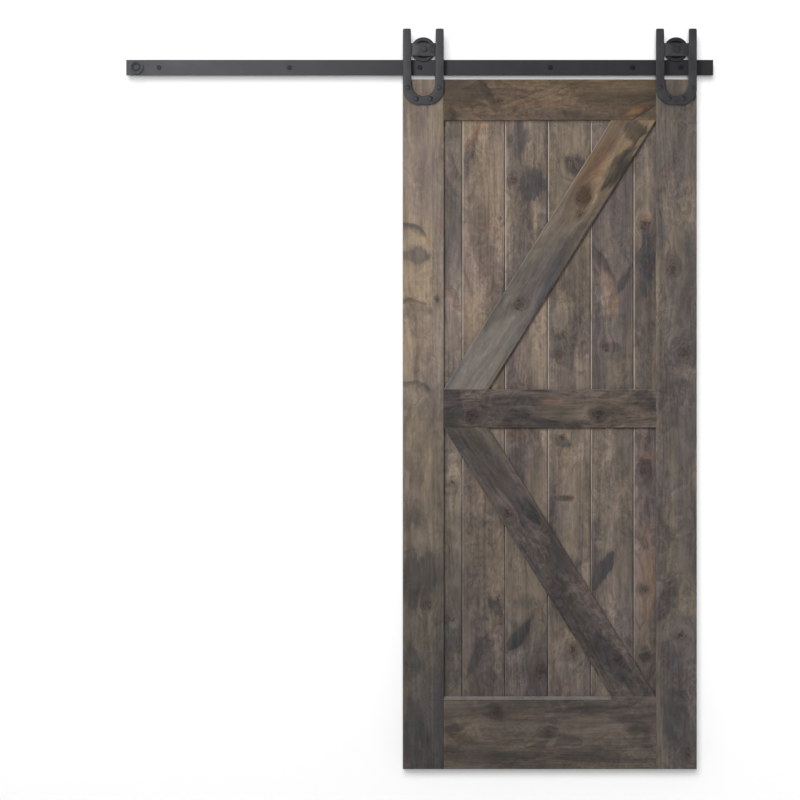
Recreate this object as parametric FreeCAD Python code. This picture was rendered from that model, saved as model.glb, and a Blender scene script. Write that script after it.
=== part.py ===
import FreeCAD, Part

import math
import os

# Sliding framed, ledged and braced plank door, hung from a flat rail by two horseshoe hangers.
# Units are millimetres. The origin is on the wall, at the middle of the rail.
# +X is to the right as seen from the room, +Y goes into the wall and +Z is up, so the front faces -Y.

Vector = FreeCAD.Vector

# Rail, standoffs and lag screws
rail_length = 1828.8
rail_height = 48.0
rail_thickness = 6.35
rail_edge_ease = 0.8
standoff_length = 38.1
standoff_diameter = 25.4
standoff_ease = 1.0
lag_end_inset = 101.6
lag_count = 5
extra_lag_inset = 251.8
lag_diameter = 7.94
lag_thread_diameter = 7.6
lag_hole_clearance = 0.3
lag_embedment = 31.75
lag_point_length = 8.0
lag_point_radius = 0.6
lag_head_flats = 12.7
lag_head_height = 5.4

# End stop at the rail's left end
stop_inset = 32.6
stop_diameter = 40.0
stop_length = 25.4
stop_cup_diameter = 36.0
stop_cup_floor_diameter = 17.0
stop_cup_depth = 13.0
stop_ease = 1.6
stop_bolt_diameter = 7.94
stop_bolt_head_diameter = 13.0
stop_bolt_head_height = 8.0
stop_bolt_socket_flats = 6.0
stop_bolt_socket_depth = 4.0
stop_bolt_reach = 5.0
stop_hole_clearance = 0.3

# Door leaf
door_width = 914.4
door_height = 2146.3
door_thickness = 44.45
door_gap = 14.2
door_overrun = 52.4
wall_gap = 19.05
stile_width = 127.0
top_rail_height = 127.0
mid_rail_height = 119.0
bottom_rail_height = 226.0
brace_width = 118.0
ledge_thickness = 12.7
timber_ease = 1.6
slope_height = 10.0
slope_depth = 9.5
groove_depth = 12.7
groove_clearance = 0.15
seat_clearance = 0.3
tenon_length = 63.5
tenon_thickness = 15.9
tenon_shoulder = 25.4
plank_thickness = 19.05
plank_pitch = 133.35
first_joint = 185.0
joint_chamfer = 3.2
joint_gap = 1.0
tongue_length = 6.8
tongue_thickness = 6.35

# Horseshoe hangers
hanger_width = 127.0
hanger_height = 237.0
hanger_overlap = 79.2
hanger_thickness = 9.525
strap_width = 26.5
leg_top_width = 25.0
horseshoe_corner_radius = 50.0
leg_corner_radius = 4.5
strap_chamfer = 0.9
bar_height = 40.4
bar_drop = 1.5
bar_thickness = 6.35
hanger_bolt_angles = (-78.0, -26.0, 26.0, 78.0)
hanger_bolt_diameter = 7.94
hanger_bolt_clearance = 0.2
hanger_bolt_head_diameter = 15.9
hanger_bolt_head_height = 3.0
hanger_bolt_rim_height = 0.6
hanger_bolt_tail = 1.5
hanger_nut_flats = 12.7
hanger_nut_height = 6.75
hanger_washer_diameter = 19.0
hanger_washer_thickness = 1.6
thread_clearance = 0.1

# Wheels and axles
wheel_diameter = 76.2
wheel_width = 22.2
groove_root_diameter = 63.5
groove_side_clearance = 0.5
groove_flare = 2.4
rail_running_clearance = 0.3
rim_inner_diameter = 50.0
rim_draft = 1.5
rim_round = 1.5
web_thickness = 8.0
hub_diameter = 41.0
bearing_diameter = 32.0
bearing_width = 12.0
bearing_fit_clearance = 0.02
bearing_race = 2.4
bearing_shield_depth = 0.7
bearing_chamfer = 0.5
axle_diameter = 12.7
axle_bearing_clearance = 0.05
axle_hole_clearance = 0.2
axle_head_flats = 19.05
axle_head_height = 7.9
axle_tail = 2.5
axle_play = 0.3
axle_spacer_diameter = 19.0
axle_nut_flats = 19.05
axle_nut_height = 8.0
axle_nut_collar_height = 3.4
axle_nut_collar_diameter = 17.0

# Form shared by the bolts, heads and nuts
head_land_share = 0.94
head_chamfer_angle = 28.0
bolt_ease = 0.8
dome_steps = 5

# Levels worked out from the sizes above
rail_back = -standoff_length
rail_front = rail_back - rail_thickness
rail_middle = rail_back - rail_thickness / 2
rail_top = rail_height / 2
leaf_back = -wall_gap
leaf_front = leaf_back - door_thickness
leaf_top = -rail_height / 2 - door_gap
leaf_bottom = leaf_top - door_height
leaf_right = rail_length / 2 - door_overrun
leaf_left = leaf_right - door_width
opening_left = leaf_left + stile_width
opening_right = leaf_right - stile_width
opening_top = leaf_top - top_rail_height
opening_bottom = leaf_bottom + bottom_rail_height
mid_rail_middle = (opening_top + opening_bottom) / 2
mid_rail_top = mid_rail_middle + mid_rail_height / 2
mid_rail_bottom = mid_rail_middle - mid_rail_height / 2
plank_front = leaf_front + ledge_thickness
plank_back = plank_front + plank_thickness
plank_middle = (plank_front + plank_back) / 2
strap_back = leaf_front
strap_front = strap_back - hanger_thickness
bar_front = strap_back - bar_thickness
hanger_bottom = leaf_top - hanger_overlap
hanger_top = hanger_bottom + hanger_height
hanger_inner_radius = hanger_width / 2 - strap_width
ring_level = hanger_bottom + strap_width + hanger_inner_radius
bolt_ring_radius = hanger_inner_radius + strap_width / 2
axle_level = rail_top + rail_running_clearance + groove_root_diameter / 2
hanger_middles = {
    "left": leaf_left + hanger_width / 2,
    "right": leaf_right - hanger_width / 2,
}
bearing_front = rail_middle - bearing_width / 2
bearing_back = rail_middle + bearing_width / 2
lag_pitch = (rail_length - 2 * lag_end_inset) / (lag_count - 1)
lag_places = [(i - (lag_count - 1) / 2) * lag_pitch for i in range(lag_count)]
lag_places = sorted(lag_places + [rail_length / 2 - extra_lag_inset])
stop_place = -rail_length / 2 + stop_inset


def box(x0, x1, y0, y1, z0, z1):
    """A block between two corners."""
    return Part.makeBox(x1 - x0, y1 - y0, z1 - z0, Vector(x0, y0, z0))


def rod(diameter, x, z, y0, y1):
    """A cylinder along Y, from y0 to y1."""
    return Part.makeCylinder(diameter / 2, y1 - y0, Vector(x, y0, z), Vector(0, 1, 0))


def tube(outer, inner, x, z, y0, y1):
    """A straight tube along Y."""
    return rod(outer, x, z, y0, y1).cut(rod(inner, x, z, y0 - 1, y1 + 1))


def prism(points, direction):
    """A solid pushed out from a closed flat outline."""
    return Part.Face(Part.makePolygon(points + points[:1])).extrude(direction)


def turned(profile, x, z):
    """A solid turned about an axis along Y, from (radius, y) points."""
    outline = [Vector(x + r, y, z) for r, y in profile]
    face = Part.Face(Part.makePolygon(outline + outline[:1]))
    return face.revolve(Vector(x, 0, z), Vector(0, 1, 0), 360)


def hexagon(flats, x, z, y0, y1):
    """A hexagonal bar along Y, corners to the left and right."""
    corner = flats / math.sqrt(3)
    points = []
    for i in range(6):
        angle = math.radians(60 * i)
        points.append(Vector(x + corner * math.cos(angle), y0, z + corner * math.sin(angle)))
    return prism(points, Vector(0, y1 - y0, 0))


def hexagon_head(flats, x, z, face, top):
    """A bolt head from its bearing face to its top, with the corners of the top turned off."""
    corner = flats / math.sqrt(3)
    land = flats / 2 * head_land_share
    slope = (corner - land) * math.tan(math.radians(head_chamfer_angle))
    way = 1 if top > face else -1
    shape = hexagon(flats, x, z, min(face, top), max(face, top))
    limit = [(0, face - way), (corner + 1, face - way), (corner + 1, top - way * slope),
             (corner, top - way * slope), (land, top), (0, top)]
    return shape.common(turned(limit, x, z))


def edges_along(shape, direction, keep=lambda middle: True):
    """The straight edges of a shape that run along a direction and whose middle point is wanted."""
    found = []
    for edge in shape.Edges:
        if not isinstance(edge.Curve, Part.Line):
            continue
        if abs(abs(edge.Curve.Direction.dot(direction)) - 1) > 1e-6:
            continue
        if keep(edge.CenterOfMass):
            found.append(edge)
    return found


def save(name, shape):
    """Write one node and report what is in it."""
    solids = len(shape.Solids)
    if not shape.isValid() or solids == 0:
        raise ValueError(name + " isn't a valid solid")
    shape.exportStep("parts/" + name + ".step")
    print(name, "solids", solids, "volume cm3", round(shape.Volume / 1000, 2))


def make_rail():
    """The flat bar, drilled for the lag screws and the end stop's bolt."""
    bar = box(-rail_length / 2, rail_length / 2, rail_front, rail_back, -rail_top, rail_top)
    bar = bar.makeFillet(rail_edge_ease, edges_along(bar, Vector(1, 0, 0)))
    holes = [(x, lag_diameter + 2 * lag_hole_clearance) for x in lag_places]
    holes.append((stop_place, stop_bolt_diameter + 2 * thread_clearance))
    for x, diameter in holes:
        bar = bar.cut(rod(diameter, x, 0, rail_front - 1, rail_back + 1))
    return bar


def make_standoff(x):
    """A spacer tube between the rail and the wall, with its rims eased."""
    outer = standoff_diameter / 2
    inner = lag_diameter / 2 + lag_hole_clearance
    ease = standoff_ease
    profile = [(inner, rail_back), (outer - ease, rail_back), (outer, rail_back + ease),
               (outer, -ease), (outer - ease, 0), (inner, 0)]
    return turned(profile, x, 0)


def make_lag_screw(x):
    """Hexagonal head, plain shank to the wall, threaded stretch as a plain cylinder, and a point."""
    head_top = rail_front - lag_head_height
    thread_end = lag_embedment - lag_point_length
    head = hexagon_head(lag_head_flats, x, 0, rail_front, head_top)
    profile = [(0, rail_front), (lag_diameter / 2, rail_front), (lag_diameter / 2, 0),
               (lag_thread_diameter / 2, 0), (lag_thread_diameter / 2, thread_end),
               (lag_point_radius, lag_embedment), (0, lag_embedment)]
    return head.fuse(turned(profile, x, 0)).removeSplitter()


def make_end_stop():
    """A short round stop with a dished front; the bolt passes through the bottom of the dish."""
    outer = stop_diameter / 2
    cup = stop_cup_diameter / 2
    cup_bottom = stop_cup_floor_diameter / 2
    inner = stop_bolt_diameter / 2 + stop_hole_clearance
    front = rail_front - stop_length
    cup_floor = front + stop_cup_depth
    profile = [(inner, rail_front), (outer, rail_front), (outer, front + stop_ease),
               (outer - stop_ease, front), (cup, front), (cup_bottom, cup_floor), (inner, cup_floor)]
    return turned(profile, stop_place, 0)


def make_end_stop_bolt():
    """A socket head bolt that stands on the floor of the cup and is tapped through the rail."""
    seat = rail_front - stop_length + stop_cup_depth
    top = seat - stop_bolt_head_height
    head = stop_bolt_head_diameter / 2
    shank = stop_bolt_diameter / 2
    end = rail_back + stop_bolt_reach
    profile = [(0, top), (head - bolt_ease, top), (head, top + bolt_ease), (head, seat), (shank, seat),
               (shank, end - bolt_ease), (shank - bolt_ease, end), (0, end)]
    bolt = turned(profile, stop_place, 0)
    return bolt.cut(hexagon(stop_bolt_socket_flats, stop_place, 0, top - 1, top + stop_bolt_socket_depth))


def hanger_bolt_places(middle):
    """The four bolt centres, on the strap's centre line round the bottom of the horseshoe."""
    places = []
    for angle in hanger_bolt_angles:
        across = bolt_ring_radius * math.sin(math.radians(angle))
        down = bolt_ring_radius * math.cos(math.radians(angle))
        places.append((middle + across, ring_level - down))
    return places


def drill_hanger_holes(shape):
    """Cut the holes of both hangers' bolts, through the strap and the leaf."""
    for middle in hanger_middles.values():
        for x, z in hanger_bolt_places(middle):
            diameter = hanger_bolt_diameter + 2 * hanger_bolt_clearance
            shape = shape.cut(rod(diameter, x, z, strap_front - 1, leaf_back + 1))
    return shape


def groove_block(x0, x1, z0, z1):
    """The space that a plank edge takes in the frame, with its clearance front and back."""
    return box(x0, x1, plank_front - groove_clearance, plank_back + groove_clearance, z0, z1)


def rail_tenons(low, high, grows, inside_is_low):
    """The haunches and tenons at both ends of a cross rail, or their housings when grown by a clearance."""
    inner_low = low + groove_depth if inside_is_low else low
    inner_high = high if inside_is_low else high - groove_depth
    tenon_low = inner_low if inside_is_low else inner_low + tenon_shoulder
    tenon_high = inner_high - tenon_shoulder if inside_is_low else inner_high
    haunch_reach = groove_depth - seat_clearance
    pieces = []
    for edge, way in ((opening_left, -1), (opening_right, 1)):
        if grows == 0:
            reach = sorted((edge, edge + way * haunch_reach))
            pieces.append(box(reach[0], reach[1], plank_front, plank_back, inner_low, inner_high))
        depth = tenon_length + (seat_clearance if grows else 0)
        reach = sorted((edge, edge + way * depth))
        half = tenon_thickness / 2 + grows
        pieces.append(box(reach[0], reach[1], plank_middle - half, plank_middle + half,
                          tenon_low - grows, tenon_high + grows))
    return pieces


def make_stile(x0, x1, groove_on_right):
    """A full-height stile with a plank groove and the mortises of the top and bottom rails."""
    stile = box(x0, x1, leaf_front, leaf_back, leaf_bottom, leaf_top)
    stile = stile.makeFillet(timber_ease, edges_along(stile, Vector(0, 0, 1)))
    if groove_on_right:
        groove = groove_block(x1 - groove_depth, x1 + 1, leaf_bottom - 1, leaf_top + 1)
    else:
        groove = groove_block(x0 - 1, x0 + groove_depth, leaf_bottom - 1, leaf_top + 1)
    stile = stile.cut(groove)
    housings = rail_tenons(opening_top, leaf_top, groove_clearance, True)
    housings += rail_tenons(leaf_bottom, opening_bottom, groove_clearance, False)
    for housing in housings:
        stile = stile.cut(housing)
    return drill_hanger_holes(stile)


def make_cross_rail(low, high, inside_is_low):
    """A rail between the stiles, grooved on the edge that faces the planks and tenoned at both ends."""
    rail = box(opening_left, opening_right, leaf_front, leaf_back, low, high)
    rail = rail.makeFillet(timber_ease, edges_along(rail, Vector(1, 0, 0)))
    if inside_is_low:
        groove = groove_block(opening_left - 1, opening_right + 1, low - 1, low + groove_depth)
    else:
        groove = groove_block(opening_left - 1, opening_right + 1, high - groove_depth, high + 1)
    rail = rail.cut(groove)
    for piece in rail_tenons(low, high, 0, inside_is_low):
        rail = rail.fuse(piece)
    return drill_hanger_holes(rail.removeSplitter())


def make_bottom_rail():
    """The bottom cross rail; its top edge slopes from the left stile to the lower brace, to shed water."""
    rail = make_cross_rail(leaf_bottom, opening_bottom, False)
    low = opening_bottom - slope_height
    back = leaf_front + slope_depth
    points = [
        Vector(opening_left, leaf_front - 1, opening_bottom + 1),
        Vector(opening_left, leaf_front - 1, low),
        Vector(opening_left, leaf_front, low),
        Vector(opening_left, back, opening_bottom),
        Vector(opening_left, back, opening_bottom + 1),
    ]
    length = opening_right - opening_left - brace_level_width(opening_bottom, mid_rail_bottom)
    return rail.cut(prism(points, Vector(length, 0, 0)))


def make_mid_rail():
    """The ledge, planted on the planks, with its two front edges eased."""
    ledge = box(opening_left, opening_right, leaf_front, plank_front, mid_rail_bottom, mid_rail_top)
    front = edges_along(ledge, Vector(1, 0, 0), lambda middle: middle.y < leaf_front + 0.1)
    return ledge.makeFillet(timber_ease, front)


def brace_level_width(low, high):
    """How wide a brace is measured level, so that it is brace_width across, between two levels."""
    wide = opening_right - opening_left
    tall = high - low
    square = tall ** 2 - brace_width ** 2
    root = math.sqrt(brace_width ** 4 * wide ** 2 + square * brace_width ** 2 * (tall ** 2 + wide ** 2))
    return (root - brace_width ** 2 * wide) / square


def make_brace(foot_level, head_level):
    """A diagonal brace that fills the opening from its foot's left corner to its head's right corner.

    Its ends are cut level."""
    level = brace_level_width(min(foot_level, head_level), max(foot_level, head_level))
    points = [
        Vector(opening_left, leaf_front, foot_level),
        Vector(opening_left + level, leaf_front, foot_level),
        Vector(opening_right, leaf_front, head_level),
        Vector(opening_right - level, leaf_front, head_level),
    ]
    brace = prism(points, Vector(0, ledge_thickness, 0))
    along = (points[3] - points[0]).normalize()
    front = edges_along(brace, along, lambda middle: middle.y < leaf_front + 0.1)
    return brace.makeFillet(timber_ease, front)


def plank_joints():
    """The X places of the joints between planks, from the left."""
    joints = []
    place = leaf_left + first_joint
    while place < opening_right - 2 * tongue_length:
        joints.append(place)
        place += plank_pitch
    return joints


def make_plank(left, right, joined_left, joined_right):
    """One plank: a V joint at each joined edge, a tongue on its right and a groove on its left."""
    cut = joint_chamfer
    left += joint_gap / 2 if joined_left else 0
    right -= joint_gap / 2 if joined_right else 0
    half_tongue = tongue_thickness / 2
    half_groove = half_tongue + groove_clearance
    groove_floor = left + tongue_length + seat_clearance
    tongue_tip = right + joint_gap + tongue_length
    if joined_right:
        right_side = [(right - cut, plank_front), (right, plank_front + cut),
                      (right, plank_middle - half_tongue), (tongue_tip, plank_middle - half_tongue),
                      (tongue_tip, plank_middle + half_tongue), (right, plank_middle + half_tongue),
                      (right, plank_back - cut), (right - cut, plank_back)]
    else:
        right_side = [(right, plank_front), (right, plank_back)]
    if joined_left:
        left_side = [(left + cut, plank_back), (left, plank_back - cut),
                     (left, plank_middle + half_groove), (groove_floor, plank_middle + half_groove),
                     (groove_floor, plank_middle - half_groove), (left, plank_middle - half_groove),
                     (left, plank_front + cut), (left + cut, plank_front)]
    else:
        left_side = [(left, plank_back), (left, plank_front)]
    low = opening_bottom - groove_depth + seat_clearance
    high = opening_top + groove_depth - seat_clearance
    points = [Vector(x, y, low) for x, y in right_side + left_side]
    return prism(points, Vector(0, 0, high - low))


def leg_inner_edge(level):
    """Half the space between the legs at a height; the legs get a little slimmer upwards."""
    share = (level - ring_level) / (hanger_top - ring_level)
    return hanger_inner_radius + share * (strap_width - leg_top_width)


def make_hanger(middle):
    """The horseshoe strap and the bar welded between its legs, as one piece."""
    half = hanger_width / 2
    corner = horseshoe_corner_radius
    turn = corner * (1 - math.sqrt(0.5))
    inner_top = leg_inner_edge(hanger_top)

    def at(x, z):
        return Vector(middle + x, strap_front, z)

    outline = [
        Part.LineSegment(at(-half, hanger_top), at(-half, hanger_bottom + corner)),
        Part.Arc(at(-half, hanger_bottom + corner), at(turn - half, hanger_bottom + turn),
                 at(corner - half, hanger_bottom)),
        Part.LineSegment(at(corner - half, hanger_bottom), at(half - corner, hanger_bottom)),
        Part.Arc(at(half - corner, hanger_bottom), at(half - turn, hanger_bottom + turn),
                 at(half, hanger_bottom + corner)),
        Part.LineSegment(at(half, hanger_bottom + corner), at(half, hanger_top)),
        Part.LineSegment(at(half, hanger_top), at(inner_top, hanger_top)),
        Part.LineSegment(at(inner_top, hanger_top), at(hanger_inner_radius, ring_level)),
        Part.Arc(at(hanger_inner_radius, ring_level), at(0, ring_level - hanger_inner_radius),
                 at(-hanger_inner_radius, ring_level)),
        Part.LineSegment(at(-hanger_inner_radius, ring_level), at(-inner_top, hanger_top)),
        Part.LineSegment(at(-inner_top, hanger_top), at(-half, hanger_top)),
    ]
    wire = Part.Wire([piece.toShape() for piece in outline])
    strap = Part.Face(wire).extrude(Vector(0, hanger_thickness, 0))
    tops = edges_along(strap, Vector(0, 1, 0), lambda place: place.z > hanger_top - 0.1)
    strap = strap.makeFillet(leg_corner_radius, tops)
    rim = [edge for edge in strap.Edges if edge.BoundBox.YMax < strap_front + 0.01]
    strap = strap.makeChamfer(strap_chamfer, rim)

    bar_low = axle_level - bar_drop - bar_height / 2
    bar_high = bar_low + bar_height
    low_half = leg_inner_edge(bar_low)
    high_half = leg_inner_edge(bar_high)
    bar_points = [
        Vector(middle - low_half, bar_front, bar_low),
        Vector(middle + low_half, bar_front, bar_low),
        Vector(middle + high_half, bar_front, bar_high),
        Vector(middle - high_half, bar_front, bar_high),
    ]
    bar = prism(bar_points, Vector(0, bar_thickness, 0))
    hole_diameter = axle_diameter + 2 * axle_hole_clearance
    axle_hole = rod(hole_diameter, middle, axle_level, bar_front - 1, strap_back + 1)
    hanger = strap.fuse(bar).removeSplitter().cut(axle_hole)
    return drill_hanger_holes(hanger)


def make_hanger_bolts(middle):
    """Four bolts with low domed heads on the strap; the shanks pass through strap and leaf."""
    head = hanger_bolt_head_diameter / 2
    shank = hanger_bolt_diameter / 2
    rim = strap_front - hanger_bolt_rim_height
    dome = hanger_bolt_head_height - hanger_bolt_rim_height
    end = leaf_back + hanger_washer_thickness + hanger_nut_height + hanger_bolt_tail
    dome_points = []
    for step in range(dome_steps + 1):
        turn = math.radians(90 * step / dome_steps)
        dome_points.append((head * math.sin(turn), rim - dome * math.cos(turn)))
    profile = dome_points + [(head, strap_front), (shank, strap_front), (shank, end - bolt_ease),
                             (shank - bolt_ease, end), (0, end)]
    return Part.makeCompound([turned(profile, x, z) for x, z in hanger_bolt_places(middle)])


def make_hanger_nuts(middle):
    """A washer and hexagonal nut, as one piece, on the leaf's back for each bolt."""
    nuts = []
    seat = leaf_back + hanger_washer_thickness
    top = seat + hanger_nut_height
    for x, z in hanger_bolt_places(middle):
        washer = rod(hanger_washer_diameter, x, z, leaf_back, seat)
        nut = hexagon_head(hanger_nut_flats, x, z, seat, top)
        hole = rod(hanger_bolt_diameter + 2 * thread_clearance, x, z, leaf_back - 1, top + 1)
        nuts.append(washer.fuse(nut).removeSplitter().cut(hole))
    return Part.makeCompound(nuts)


def make_axle(middle):
    """The wheel's bolt: hexagonal head on the cross bar, shank through spacer, bearing and nut."""
    head = hexagon_head(axle_head_flats, middle, axle_level, bar_front, bar_front - axle_head_height)
    end = bearing_back + axle_play + axle_nut_height + axle_nut_collar_height + axle_tail
    shank = axle_diameter / 2
    profile = [(0, bar_front), (shank, bar_front), (shank, end - bolt_ease),
               (shank - bolt_ease, end), (0, end)]
    return head.fuse(turned(profile, middle, axle_level)).removeSplitter()


def make_axle_spacer(middle):
    """The spacer tube from the cross bar's back to just before the bearing."""
    bore = axle_diameter + 2 * axle_hole_clearance
    return tube(axle_spacer_diameter, bore, middle, axle_level, strap_back, bearing_front - axle_play)


def make_axle_nut(middle):
    """A lock nut: hexagon with a round collar behind it."""
    seat = bearing_back + axle_play
    shoulder = seat + axle_nut_height
    end = shoulder + axle_nut_collar_height
    body = hexagon_head(axle_nut_flats, middle, axle_level, seat, shoulder)
    collar = rod(axle_nut_collar_diameter, middle, axle_level, shoulder, end)
    hole = rod(axle_diameter + 2 * thread_clearance, middle, axle_level, seat - 1, end + 1)
    return body.fuse(collar).removeSplitter().cut(hole)


def make_wheel(middle):
    """The grooved wheel, turned: rim with two flanges, recessed web and a hub for the bearing."""
    outer = wheel_diameter / 2
    root = groove_root_diameter / 2
    side = wheel_width / 2
    root_half = rail_thickness / 2 + groove_side_clearance
    mouth_half = root_half + groove_flare
    rim = rim_inner_diameter / 2
    hub = hub_diameter / 2
    seat = bearing_diameter / 2 + bearing_fit_clearance
    web = web_thickness / 2
    hub_half = bearing_width / 2
    front = [(seat, hub_half), (hub, hub_half), (hub + 0.6, web), (rim, web), (rim + rim_draft, side),
             (outer - rim_round, side), (outer, side - rim_round), (outer, mouth_half), (root, root_half)]
    back = [(r, -y) for r, y in reversed(front)]
    profile = [(r, rail_middle - y) for r, y in front + back]
    return turned(profile, middle, axle_level)


def make_bearing(middle):
    """A sealed bearing: two races with a shield set back between them on each face."""
    outer = bearing_diameter / 2
    inner = axle_diameter / 2 + axle_bearing_clearance
    side = bearing_width / 2
    shield = side - bearing_shield_depth
    ease = bearing_chamfer
    face = [(inner, side - ease), (inner + ease, side), (inner + bearing_race, side),
            (inner + bearing_race, shield), (outer - bearing_race, shield), (outer - bearing_race, side),
            (outer - ease, side), (outer, side - ease)]
    other = [(r, -y) for r, y in reversed(face)]
    profile = [(r, rail_middle - y) for r, y in face + other]
    return turned(profile, middle, axle_level)


os.makedirs("parts", exist_ok=True)

save("rail", make_rail())
for number, place in enumerate(lag_places, start=1):
    save("standoff_" + str(number), make_standoff(place))
    save("lag_screw_" + str(number), make_lag_screw(place))
save("end_stop", make_end_stop())
save("end_stop_bolt", make_end_stop_bolt())

save("stile_left", make_stile(leaf_left, opening_left, True))
save("stile_right", make_stile(opening_right, leaf_right, False))
save("top_rail", make_cross_rail(opening_top, leaf_top, True))
save("bottom_rail", make_bottom_rail())
save("mid_rail", make_mid_rail())
save("brace_upper", make_brace(mid_rail_top, opening_top))
save("brace_lower", make_brace(mid_rail_bottom, opening_bottom))

joints = plank_joints()
outer_reach = groove_depth - seat_clearance
plank_edges = [opening_left - outer_reach] + joints + [opening_right + outer_reach]
for number, (left, right) in enumerate(zip(plank_edges, plank_edges[1:]), start=1):
    save("plank_" + str(number), make_plank(left, right, left in joints, right in joints))

for side_name, middle in hanger_middles.items():
    save("hanger_" + side_name, make_hanger(middle))
    save("hanger_bolts_" + side_name, make_hanger_bolts(middle))
    save("hanger_nuts_" + side_name, make_hanger_nuts(middle))
    save("axle_" + side_name, make_axle(middle))
    save("axle_spacer_" + side_name, make_axle_spacer(middle))
    save("axle_nut_" + side_name, make_axle_nut(middle))
    save("wheel_" + side_name, make_wheel(middle))
    save("bearing_" + side_name, make_bearing(middle))
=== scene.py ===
"""Looks of a sliding braced plank door on its rail: stained knotty wood, black coated steel, stage and lights.

Units are metres in the row frame: +X to the right, +Y into the wall, +Z up, origin on the wall at the
rail's middle. Sizes of pieces and places on the door are given in millimetres, and turned into metres once."""

import math

import bmesh
import bpy
import numpy as np
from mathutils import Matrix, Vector


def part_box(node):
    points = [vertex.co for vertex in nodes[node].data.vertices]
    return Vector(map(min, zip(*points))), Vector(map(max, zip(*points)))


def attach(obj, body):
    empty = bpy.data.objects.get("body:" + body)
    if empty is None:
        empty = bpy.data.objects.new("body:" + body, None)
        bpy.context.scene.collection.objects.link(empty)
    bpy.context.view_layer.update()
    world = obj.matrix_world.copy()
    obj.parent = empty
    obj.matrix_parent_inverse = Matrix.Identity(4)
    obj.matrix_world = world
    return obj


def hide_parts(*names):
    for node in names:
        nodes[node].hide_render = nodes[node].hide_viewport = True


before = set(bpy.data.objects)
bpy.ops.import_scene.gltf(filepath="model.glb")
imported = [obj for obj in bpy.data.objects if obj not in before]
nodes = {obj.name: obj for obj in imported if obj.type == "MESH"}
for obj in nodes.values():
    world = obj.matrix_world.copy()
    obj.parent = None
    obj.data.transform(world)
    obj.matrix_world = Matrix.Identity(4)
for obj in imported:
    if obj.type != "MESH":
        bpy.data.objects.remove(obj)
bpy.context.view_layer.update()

MM = 0.001
CIRCLE = 2 * math.pi

# What the photograph shows, as real sizes
PHOTO_SIDE = 800
PIXEL_SIZE = 3.1121 * MM
RAIL_MIDDLE_PIXEL = (419.75, 67.15)
CAMERA_DISTANCE = 16.0
SENSOR_WIDTH = 36.0

# Stage and light; a slope is how far shadows fall to the side and down for each unit of depth
WALL_HALF_SIZE = 14.0
FLOOR_LEVEL = -2.33
WALL_TONE = (0.26, 0.26, 0.26)
FLOOR_TONE = (0.85, 0.85, 0.84)
SKY_STRENGTH = 0.66
WALL_KEY_STRENGTH = 7.1
WALL_KEY_SLOPE = (-0.12, 0.32)
WALL_KEY_SPREAD = 28.0
WALL_FRONT_STRENGTH = 4.3
WALL_FRONT_SPREAD = 10.0
DOOR_KEY_STRENGTH = 1.74
DOOR_KEY_SLOPE = (-0.5, 0.6)
DOOR_KEY_SPREAD = 20.0
SIDE_LIGHT_WATTS = 47.0
BACK_LIGHT_WATTS = 310.0


# Short calls for shader nodes

class Wire:
    """An output socket, so that arithmetic on its number reads as a formula."""

    def __init__(self, bench, socket):
        self.bench = bench
        self.socket = socket

    def __add__(self, other):
        return self.bench.math("ADD", self, other)

    def __sub__(self, other):
        return self.bench.math("SUBTRACT", self, other)

    def __rsub__(self, other):
        return self.bench.math("SUBTRACT", other, self)

    def __mul__(self, other):
        return self.bench.math("MULTIPLY", self, other)

    def __truediv__(self, other):
        return self.bench.math("DIVIDE", self, other)

    def __abs__(self):
        return self.bench.math("ABSOLUTE", self)


def feed(tree, socket, value):
    """Links a socket when the value is another node's output, and otherwise sets it."""
    if isinstance(value, Wire):
        tree.links.new(value.socket, socket)
    else:
        socket.default_value = value


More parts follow.
